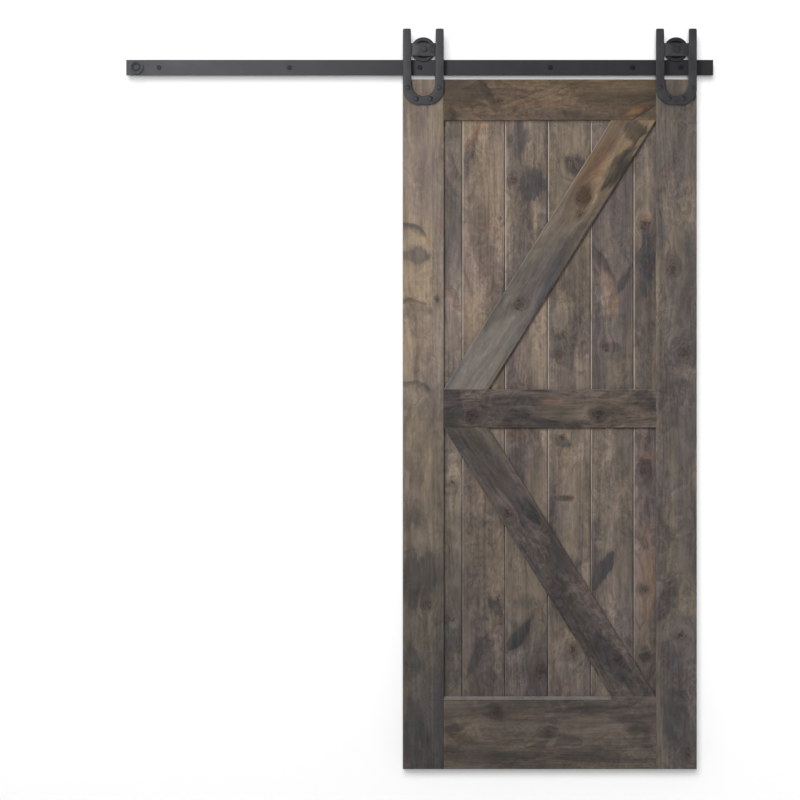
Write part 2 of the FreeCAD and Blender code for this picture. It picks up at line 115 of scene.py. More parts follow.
class Bench:
    """Short calls for the nodes that the finishes are made of, in one node tree."""

    def __init__(self, tree):
        self.tree = tree

    def node(self, kind, inputs=(), **settings):
        """One node with its settings, and its inputs given as (name or number, value or wire)."""
        made = self.tree.nodes.new(kind)
        for key, value in settings.items():
            setattr(made, key, value)
        self.set(made, dict(inputs))
        return made

    def set(self, node, inputs):
        """Sets or links the inputs of a node."""
        for key, value in inputs.items():
            feed(self.tree, node.inputs[key], value)

    def out(self, kind, inputs=(), output=0, **settings):
        """The output of one new node."""
        return Wire(self, self.node(kind, inputs, **settings).outputs[output])

    def wires(self, node):
        """All outputs of a node by name."""
        return {socket.name: Wire(self, socket) for socket in node.outputs}

    def group(self, group, inputs):
        """The outputs of a node group that is given its own values."""
        return self.wires(self.node("ShaderNodeGroup", inputs, node_tree=group))

    def math(self, operation, *values):
        """One step of arithmetic on numbers."""
        return self.out("ShaderNodeMath", enumerate(values), operation=operation)

    def most(self, first, *others):
        """The greatest of some numbers."""
        for other in others:
            first = self.math("MAXIMUM", first, other)
        return first

    def step(self, value, low, high, to_low=0.0, to_high=1.0):
        """A smooth step of value, from to_low at low to to_high at high."""
        inputs = {"Value": value, "From Min": low, "From Max": high, "To Min": to_low, "To Max": to_high}
        return self.out("ShaderNodeMapRange", inputs, "Result", interpolation_type="SMOOTHSTEP")

    def ridge(self, value, middle, reach):
        """One where value is at middle, falling to nothing at reach on either side."""
        return self.step(abs(value - middle), reach, 0.0)

    def vector(self, operation, one, other):
        """One step of arithmetic on two vectors, or on a vector and a number for SCALE."""
        place = "Scale" if operation == "SCALE" else 1
        return self.out("ShaderNodeVectorMath", {0: one, place: other}, operation=operation)

    def split(self, value):
        """The three numbers of a vector."""
        return self.wires(self.node("ShaderNodeSeparateXYZ", {0: value})).values()

    def join(self, x, y, z):
        """A vector from three numbers."""
        return self.out("ShaderNodeCombineXYZ", {0: x, 1: y, 2: z})

    def length(self, side, rise):
        """The distance that two distances at a right angle make together."""
        return self.out("ShaderNodeVectorMath", {0: self.join(side, 0.0, rise)}, "Value", operation="LENGTH")

    def mix(self, share, one, other):
        """A colour between two."""
        return self.out("ShaderNodeMix", {0: share, 6: one, 7: other}, 2, data_type="RGBA")

    def noise(self, place, scale, detail=2.0, rough=0.5, distortion=0.0):
        """Smooth noise from 0 to 1; a pair as scale counts across and along the grain."""
        if isinstance(scale, tuple):
            across, along = scale
            place = self.vector("MULTIPLY", place, (across, across, along))
            scale = 1.0
        inputs = {"Vector": place, "Scale": scale, "Detail": detail, "Roughness": rough,
                  "Distortion": distortion}
        return self.out("ShaderNodeTexNoise", inputs)

    def relief(self, height, distance):
        """The normal of a surface raised by height times distance."""
        return self.out("ShaderNodeBump", {"Height": height, "Strength": 1.0, "Distance": distance}, "Normal")


def socket_kind(label):
    """The kind of a group's socket, from its label."""
    if label in ("Vector", "Normal"):
        return "NodeSocketVector"
    if label.endswith(("Color", "Tone")):
        return "NodeSocketColor"
    return "NodeSocketFloat"


def new_group(name, inputs, outputs):
    """An empty node group with labelled sockets; returns its bench, its inputs and what sets its outputs."""
    group = bpy.data.node_groups.new(name, "ShaderNodeTree")
    for way, labels in (("INPUT", inputs), ("OUTPUT", outputs)):
        for label in labels:
            group.interface.new_socket(name=label, in_out=way, socket_type=socket_kind(label))
    bench = Bench(group)
    entry = bench.wires(bench.node("NodeGroupInput"))
    leave = bench.node("NodeGroupOutput")

    def give(**values):
        bench.set(leave, values)

    return bench, entry, give


# Shared effects as node groups

def make_knot_group():
    """A knot in the grain: a ragged dark core in a broken dark ring, with fibres pushed aside round it."""
    bench, entry, give = new_group(
        "knot_in_grain", ("Vector", "Core", "Rim", "Halo", "Across", "Along", "Radius", "Stretch"),
        ("Vector", "Core", "Rim", "Halo"))
    place = entry["Vector"]
    x, y, z = bench.split(place)
    off_x = x - entry["Across"]
    rise = (z - entry["Along"]) / (entry["Radius"] * entry["Stretch"])
    flat = bench.length(off_x / entry["Radius"], rise)
    broad = bench.noise(place, 60.0, 1.0) - 0.5
    fine = bench.noise(place, 230.0) - 0.5
    reach = flat + (broad * 2.2 + fine * 0.9)
    core = bench.step(reach, 0.75, 0.3)
    broken = bench.step(bench.noise(place, 105.0, 1.0), 0.4, 0.6)
    rim = bench.ridge(reach, 1.05, 0.3) * broken
    halo = bench.step(reach, 3.0, 0.7)
    narrowed = off_x * (1.0 - bench.step(flat, 5.0, 0.6, 0.0, 0.8))
    give(Vector=bench.join(narrowed + entry["Across"], y, z), Core=bench.most(core, entry["Core"]),
         Rim=bench.most(rim, entry["Rim"]), Halo=bench.most(halo, entry["Halo"]))
    return bench.tree


def make_patch_group():
    """A darker patch where the stain soaked in: a turned oval, partly a diamond, that fades to one side."""
    bench, entry, give = new_group(
        "soaked_patch",
        ("Vector", "Mask", "Brink", "Across", "Along", "Half Width", "Half Length", "Turn", "Strength"),
        ("Mask", "Brink"))
    place = entry["Vector"]
    x, y, z = bench.split(place)
    centre = bench.join(x - entry["Across"], 0.0, z - entry["Along"])
    turned = bench.out("ShaderNodeVectorRotate", {"Vector": centre, "Angle": entry["Turn"]},
                       rotation_type="Y_AXIS")
    across, depth, along = bench.split(turned)
    side = abs(across / entry["Half Width"])
    rise = abs(along / entry["Half Length"])
    shape = (side + rise) * 0.45 + bench.length(side, rise) * 0.55
    broad = bench.noise(place, (24.0, 13.0), 1.0) - 0.5
    fine = bench.noise(place, (120.0, 16.0), 3.0, 0.6, 0.4) - 0.5
    reach = shape + (broad * 1.3 + fine * 1.1)
    depth_of_stain = bench.step(bench.noise(place, (60.0, 14.0)), 0.25, 0.6, 0.72, 1.0)
    lopsided = bench.step(across, entry["Half Width"] * -1.0, entry["Half Width"], 0.7, 1.0)
    mask = bench.step(reach, 1.42, 0.85) * depth_of_stain * lopsided * entry["Strength"]
    brink = bench.ridge(reach, 1.38, 0.22) * entry["Strength"]
    give(Mask=bench.most(mask, entry["Mask"]), Brink=bench.most(brink, entry["Brink"]))
    return bench.tree


def make_arch_group():
    """A dark band of late wood arching over a board: a parabola of its own thickness, faded at its ends."""
    bench, entry, give = new_group(
        "grain_arch", ("Vector", "Mask", "Across", "Along", "Half Width", "Drop", "Thickness", "Strength"),
        ("Mask",))
    x, y, z = bench.split(entry["Vector"])
    side = (x - entry["Across"]) / entry["Half Width"]
    top = entry["Along"] - side * side * entry["Drop"]
    sway = bench.noise(entry["Vector"], (28.0, 16.0)) - 0.5
    level = sway * 0.022 + (z - top)
    above = bench.step(level, entry["Thickness"], 0.0)
    below = bench.step(level, entry["Thickness"] * -3.2, 0.0)
    ends = bench.step(abs(side), 1.0, 0.8)
    give(Mask=bench.most(above * below * ends * entry["Strength"], entry["Mask"]))
    return bench.tree


# The wood's periods along its rings and ripples, and tints against a tone
RING_SPACING = 0.0052
BAND_SPACING = 0.019
RIPPLE_SPACING = 0.02
REDDENED = (1.2, 0.86, 0.7)
KNOT_TINT = (1.0, 1.12, 1.15)
COOL_HUE = (0.985, 0.955, 1.0, 1.0)
WARM_HUE = (1.025, 0.99, 0.9, 1.0)


def make_wood_group():
    """Knotty softwood under a grey-brown stain, seen on all faces of a board that grows along Z.

    The rings are circles round a pith line beside the board that sway along it, so faces show long
    arches and ends show arcs. Clouds mix a light and a deep tone, soaked clouds turn it blue-grey, and
    thin veins follow one level of a slow noise. Streaks and pores stretch along the grain."""
    bench, entry, give = new_group(
        "stained_wood",
        ("Vector", "Core", "Rim", "Halo", "Patch", "Brink", "Arch", "Wear", "Glow", "Warmth", "Seed",
         "Pith Across", "Pith Depth", "Light Tone", "Deep Tone", "Grey Tone", "Warm Tone", "Worn And Lit Tone",
         "Cloud Low", "Cloud High", "Grey Share", "Vein Share", "Ripple Share", "Grain Contrast",
         "Figure Share", "Curl Share"),
        ("Color", "Roughness", "Height"))
    shift = bench.vector("SCALE", (1.7, 3.1, 2.3), entry["Seed"])
    place = bench.vector("ADD", entry["Vector"], shift)
    core, rim, halo = entry["Core"], entry["Rim"], entry["Halo"]
    grey_tone = entry["Grey Tone"]

    def noise_apart(offset, *settings):
        """Noise at places moved by an offset, so that it follows no other noise."""
        return bench.noise(bench.vector("ADD", place, offset), *settings)

    def wave(value, low, spacing):
        """A smooth wave from 0 to 1 with a period of spacing, at 0 where its sine is under low."""
        return bench.step(bench.math("SINE", value * (CIRCLE / spacing)), low, 1.0)

    def around(value, strength):
        """A number round one: 1 plus strength times how far value is from its middle."""
        return (value - 0.5) * strength + 1.0

    sway = bench.noise(place, (2.6, 1.1)) - 0.5
    x, y, z = bench.split(entry["Vector"])
    growth = bench.length(x - entry["Pith Across"], y - entry["Pith Depth"]) + sway * 0.075
    ring = wave(growth, -0.2, RING_SPACING)
    band = wave(growth, -0.6, BAND_SPACING)

    fibre = bench.noise(place, (520.0, 11.0))
    strand = bench.noise(place, (110.0, 3.0), 3.0)
    mottle = bench.noise(place, (70.0, 26.0), 3.0, 0.6, 0.6)
    pore = bench.step(bench.noise(place, (900.0, 48.0), 1.0), 0.68, 0.8)
    cloud = bench.noise(place, (12.0, 2.4), 3.0, 0.5, 0.35)
    soak = noise_apart((5.2, 1.3, 8.8), (15.0, 3.6), 3.0, 0.55, 0.9)
    blush = noise_apart((9.1, 4.7, 2.2), (9.0, 2.2), 2.0, 0.5, 0.4)
    curl = bench.step(noise_apart((2.8, 6.1, 7.4), (38.0, 27.0), 3.0, 0.7, 1.6), 0.36, 0.64) - 0.5
    curl_mask = bench.step(bench.noise(place, (8.5, 5.0), 1.0), 0.36, 0.6, 0.3, 1.0)
    vein = bench.ridge(noise_apart((3.3, 7.7, 1.9), (13.0, 4.2), 2.0, 0.45, 1.1), 0.47, 0.024)
    vein_mask = bench.step(bench.noise(place, (15.0, 7.0), 1.0), 0.48, 0.62)
    saw = bench.math("FRACT", noise_apart((6.4, 2.9, 4.1), (7.0, 3.0), 2.0, 0.5, 0.9) * 7.0)
    figure = saw - bench.step(saw, 0.88, 1.0)
    figure_mask = bench.step(bench.noise(place, (8.0, 3.2), 1.0), 0.4, 0.6) * entry["Figure Share"]
    ripple_turn = bench.noise(place, (24.0, 6.0)) * 11.0 + z * (CIRCLE / RIPPLE_SPACING)
    ripple_mask = bench.step(bench.noise(place, (9.0, 3.5), 1.0), 0.42, 0.6)
    ripple = bench.math("SINE", ripple_turn) * ripple_mask

    light_share = bench.step(cloud, entry["Cloud Low"], entry["Cloud High"])
    tone = bench.mix(light_share, entry["Deep Tone"], entry["Light Tone"])
    tone = bench.vector("MULTIPLY", tone, bench.mix(bench.step(blush, 0.38, 0.62), COOL_HUE, WARM_HUE))
    soaked = bench.step(soak, 0.55, 0.72) * entry["Grey Share"]
    tone = bench.mix(bench.most(soaked, entry["Patch"], entry["Arch"]), tone, grey_tone)
    tone = bench.mix(bench.step(figure, 0.4, 0.0) * figure_mask * 0.7, tone, grey_tone)
    tone = bench.mix(entry["Glow"] * 0.7, tone, bench.vector("SCALE", entry["Light Tone"], 1.15))
    tone = bench.mix(entry["Warmth"] * 0.9, tone, bench.vector("MULTIPLY", tone, REDDENED))
    tone = bench.mix(halo * 0.35, tone, grey_tone)
    warm_share = bench.most(halo * 0.25, vein * vein_mask * entry["Vein Share"], entry["Brink"] * 0.25)
    tone = bench.mix(warm_share, tone, entry["Warm Tone"])

    grain = bench.step(figure, 0.5, 0.88) * figure_mask * 0.22 + 1.0
    for factor in (around(strand, 0.6), around(fibre, 0.5), around(ring, -0.1), around(band, -0.1),
                   around(mottle, 0.6), ripple * entry["Ripple Share"] + 1.0,
                   curl * curl_mask * entry["Curl Share"] + 1.0, pore * -0.3 + 1.0):
        grain = grain * factor
    tone = bench.vector("SCALE", tone, (grain - 1.0) * entry["Grain Contrast"] + 1.0)

    knot_rings = bench.step(bench.math("SINE", core * 9.0), -1.0, 1.0, 0.3, 0.62)
    knot_tone = bench.vector("SCALE", bench.vector("MULTIPLY", entry["Warm Tone"], KNOT_TINT), knot_rings)
    tone = bench.mix(core * 0.9, tone, knot_tone)
    tone = bench.mix(rim * 0.75, tone, bench.vector("SCALE", grey_tone, 0.5))
    # Pale left edges: partly real wear, partly a painted highlight of light from the left
    worn_and_lit = entry["Wear"] * bench.step(mottle, 0.2, 0.55, 0.35, 1.0)
    give(Color=bench.mix(worn_and_lit, tone, entry["Worn And Lit Tone"]), Roughness=strand * 0.14 + 0.55 + pore * 0.1,
         Height=ring * -0.25 + fibre * 0.35 + strand * 0.5 - pore * 0.6 - rim * 0.6)
    return bench.tree


def make_arris_group():
    """Wear and a painted highlight along a board's left edge: full at the side, and gone within its reach."""
    bench, entry, give = new_group("worn_and_lit_arris", ("Vector", "Side", "Reach"), ("Wear",))
    x, y, z = bench.split(entry["Vector"])
    give(Wear=bench.step(x - entry["Side"], entry["Reach"], 0.0))
    return bench.tree


def make_dust_and_top_light_group():
    """Pale dust that settles where a face looks upwards, broken by noise, with a painted highlight there of
    light from above.
    """
    bench, entry, give = new_group("settled_dust_and_top_light", ("Vector", "Normal"), ("Share",))
    x, y, z = bench.split(entry["Normal"])
    speck = bench.step(bench.noise(entry["Vector"], 60.0, 3.0), 0.25, 0.6, 0.55, 1.0)
    give(Share=bench.step(z, 0.3, 0.7) * speck)
    return bench.tree


STEEL_DUST_TONE = (0.1, 0.098, 0.1, 1.0)


def make_steel_group():
    """Black powder coat on steel: fine orange peel, a little dust, and soft cloudy differences in sheen."""
    bench, entry, give = new_group("powder_coat", ("Vector", "Tone", "Dust", "Sheen Low", "Sheen High"),
                                   ("Color", "Roughness", "Height"))
    place = entry["Vector"]
    cloud = bench.noise(place, 22.0, 4.0, 0.6)
    dust = bench.step(cloud, 0.4, 0.7) * entry["Dust"]
    tone = bench.mix(dust, entry["Tone"], STEEL_DUST_TONE)
    give(Color=bench.vector("SCALE", tone, bench.noise(place, 420.0) * 0.6 + 0.7),
         Roughness=bench.step(cloud, 0.3, 0.7, entry["Sheen Low"], entry["Sheen High"]),
         Height=cloud * 0.3 + bench.noise(place, 1100.0))
    return bench.tree


KNOT = make_knot_group()
PATCH = make_patch_group()
ARCH = make_arch_group()
WOOD = make_wood_group()
ARRIS = make_arris_group()
DUST_AND_TOP_LIGHT = make_dust_and_top_light_group()
STEEL = make_steel_group()


# Materials

COAT_PEEL = 0.00002
COAT_SPECULAR_TINT = (0.93, 0.93, 1.0, 1.0)


def new_material(name):
    """A material with its bench, its Principled shader and the piece's own coordinates."""
    material = bpy.data.materials.new(name)
    material.use_nodes = True
    bench = Bench(material.node_tree)
    shader = material.node_tree.nodes["Principled BSDF"]
    return material, bench, shader, bench.out("ShaderNodeTexCoord", output="Object")


def steel_material(name, tone, dust, sheen, specular=0.38, metallic=0.0):
    """Coated or bare steel with its own tone and sheen."""
    material, bench, shader, place = new_material(name)
    coat = bench.group(STEEL, {"Vector": place, "Tone": (*tone, 1.0), "Dust": dust, "Sheen Low": sheen[0],
                               "Sheen High": sheen[1]})
    bench.set(shader, {"Base Color": coat["Color"], "Roughness": coat["Roughness"], "Metallic": metallic,
                       "Specular IOR Level": specular, "Specular Tint": COAT_SPECULAR_TINT,
                       "Normal": bench.relief(coat["Height"], COAT_PEEL)})
    return material


def span(node):
    """A CAD node in mm: the X and Z of its middle, and its front and rear in Y."""
    low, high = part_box(node)
    return (low.x + high.x) / 2 / MM, (low.z + high.z) / 2 / MM, low.y / MM, high.y / MM


def front(node):
    """The lowest Y of a CAD node in mm."""
    return span(node)[2]


# How a board's tones follow from its mean tone, as shares of red, green and blue
LIGHT_SHARE = (1.46, 1.43, 1.34)
DEEP_SHARE = (0.78, 0.79, 0.83)
GREY_SHARE = (0.42, 0.47, 0.555)
WARM_SHARE = (0.8, 0.58, 0.53)
# Pale tone of worn edges, partly real wear and partly a painted highlight
WORN_AND_LIT_TONE = (0.36, 0.315, 0.265, 1.0)
# Pale tone on upward faces: partly dust, partly a painted highlight of light from above
DUST_AND_TOP_LIGHT_TONE = (0.13, 0.122, 0.118, 1.0)
WHITE = (1.0, 1.0, 1.0, 1.0)
ARRIS_REACH = 0.0042
STAVE_SHADE = (0.82, 0.85, 0.9, 1.0)
GRAIN_DEPTH = 0.0004


class Board:
    """One board's stain and features, with places in mm as (X, Z) on the door.

    A knot is (X, Z, radius, stretch along the grain), a dark patch, a pale glow or a reddish warm streak
    (X, Z, half width, half length, degrees, strength), an arch (X, Z of its top, half width, drop, thickness,
    strength). lean is the grain's angle from upright and pith its rings' middle, from the board's own.
    foot is painted shade: how much of each colour is left at the lower end of painted_shade_span,
    so that the board darkens towards the bottom where less light falls. worn_and_lit is how much the left edge
    shows, partly real wear and partly a painted highlight of light from the left. soak is how light the soaked
    stain is, and stave where a glued-on strip begins."""

    lean = 0.0
    foot = (1.0, 1.0, 1.0)
    painted_shade_span = (-0.8, -2.12)
    pith = (20, 60)
    clouds = (0.36, 0.64)
    grey_share = 0.6
    veins = 0.5
    ripples = 0.015
    contrast = 1.0
    figure = 0.48
    curl = 0.42
    soak = 1.0
    knots = patches = glows = warms = arches = ()
    worn_and_lit = 0.0
    width = None
    stave = None

    def __init__(self, name, tone, **own):
        self.name = name
        self.tone = tone
        self.middle = span(name)[:2]
        for key, value in own.items():
            setattr(self, key, value)

    def local(self, x, z):
        """Across and along the grain in metres, of a place on the door, as a group's inputs."""
        dx = (x - self.middle[0]) * MM
        dz = (z - self.middle[1]) * MM
        c = math.cos(self.lean)
        s = math.sin(self.lean)
        return {"Across": dx * c - dz * s, "Along": dx * s + dz * c}

    def shade(self, shares):
        """The mean tone times shares of its colours."""
        return (*[value * share for value, share in zip(self.tone, shares)], 1.0)


def patch_chain(bench, board, patches, local):
    """The patches of a board, one group after another; the strongest counts at each point."""
    stain = {"Mask": 0.0, "Brink": 0.0}
    for x, z, half_width, half_length, degrees, strength in patches:
        stain = bench.group(PATCH, {
            **stain, **board.local(x, z), "Vector": local, "Half Width": half_width * MM,
            "Half Length": half_length * MM, "Turn": board.lean - math.radians(degrees), "Strength": strength})
    return stain


def wood_material(board):
    """The stained wood of one board, with its grain turned along it and its own knots, patches and arches."""
    material, bench, shader, place = new_material("stained_" + board.name)
    centre = (board.middle[0] * MM, 0.0, board.middle[1] * MM)
    local = bench.out("ShaderNodeMapping", {"Vector": place, "Location": centre,
                                            "Rotation": (0.0, board.lean, 0.0)}, vector_type="TEXTURE")
    grain = {"Vector": local}
    for x, z, radius, stretch in board.knots:
        grain = bench.group(KNOT, {**grain, **board.local(x, z), "Radius": radius * MM, "Stretch": stretch})
    arch = {"Mask": 0.0}
    for x, z, half_width, drop, thickness, strength in board.arches:
        arch = bench.group(ARCH, {**arch, **board.local(x, z), "Vector": local, "Half Width": half_width * MM,
                                  "Drop": drop * MM, "Thickness": thickness * MM, "Strength": strength})
    stain, glow, warmth = [patch_chain(bench, board, patches, local)
                           for patches in (board.patches, board.glows, board.warms)]
    x, y, z = bench.split(place)
    wear_and_highlight = 0.0
    # Wear and a painted highlight on the left edge, fading towards the bottom where less light falls
    if board.worn_and_lit:
        left_edge = -board.width / 2 * MM
        edge = bench.group(ARRIS, {"Vector": local, "Side": left_edge, "Reach": ARRIS_REACH})
        wear_and_highlight = edge["Wear"] * bench.step(z, -1.9, -0.8, 0.35, 1.0) * board.worn_and_lit
    wood = bench.group(WOOD, {
        **grain, "Patch": stain["Mask"], "Brink": stain["Brink"], "Arch": arch["Mask"], "Wear": wear_and_highlight,
        "Glow": glow["Mask"], "Warmth": warmth["Mask"], "Seed": board.seed, "Pith Across": board.pith[0] * MM,
        "Pith Depth": board.pith[1] * MM, "Light Tone": board.shade(LIGHT_SHARE),
        "Deep Tone": board.shade(DEEP_SHARE), "Grey Tone": board.shade(s * board.soak for s in GREY_SHARE),
        "Warm Tone": board.shade(WARM_SHARE), "Worn And Lit Tone": WORN_AND_LIT_TONE, "Cloud Low": board.clouds[0],
        "Cloud High": board.clouds[1], "Grey Share": board.grey_share, "Vein Share": board.veins,
        "Ripple Share": board.ripples, "Grain Contrast": board.contrast, "Figure Share": board.figure,
        "Curl Share": board.curl})
    color = wood["Color"]
    # Painted shade: the colour darkens towards the lower end of painted_shade_span, where less light falls
    if board.foot != (1.0, 1.0, 1.0):
        fade = bench.mix(bench.step(z, *board.painted_shade_span), WHITE, (*board.foot, 1.0))
        color = bench.vector("MULTIPLY", color, fade)
    if board.stave is not None:
        beside = bench.step(x, (board.stave - 3.0) * MM, (board.stave + 3.0) * MM)
        color = bench.vector("MULTIPLY", color, bench.mix(beside, WHITE, STAVE_SHADE))
        line = bench.ridge(x, board.stave * MM, 0.0016)
        color = bench.mix(line * 0.35, color, board.shade(WARM_SHARE))
    normal = bench.out("ShaderNodeNewGeometry", output="Normal")
    # Dust and a painted highlight of light from above on faces that look upwards
    dust = bench.group(DUST_AND_TOP_LIGHT, {"Vector": place, "Normal": normal})["Share"]
    bench.set(shader, {"Base Color": bench.mix(dust * 0.8, color, DUST_AND_TOP_LIGHT_TONE), "Roughness": wood["Roughness"],
                       "Specular IOR Level": 0.15, "Normal": bench.relief(wood["Height"], GRAIN_DEPTH)})
    return material


LEVEL = math.radians(90.0)
BRACE_WIDTH = 118.0
BRACE_LEVEL_WIDTH = 0.1389


def brace_lean(name, rises_right):
    """The angle from upright of a brace's grain, from the box of its outline and its level width."""
    low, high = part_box(name)
    angle = math.atan2((high.x - low.x) - BRACE_LEVEL_WIDTH, high.z - low.z)
    return angle if rises_right else -angle


def plank(number, tone, **own):
    """A plank of the panel, with wear and a painted highlight along its left edge but for the first."""
    name = "plank_" + str(number)
    low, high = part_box(name)
    return Board(name, tone, seed=7.0 + number, worn_and_lit=float(number > 1), width=(high.x - low.x) / MM, **own)


# Painted shade at the foot of the left stile and of the planks: how much colour is left at the bottom
LEFT_PAINTED_SHADE = (0.285, 0.33, 0.43)
PLANK_PAINTED_SHADE = (0.6, 0.64, 0.7)

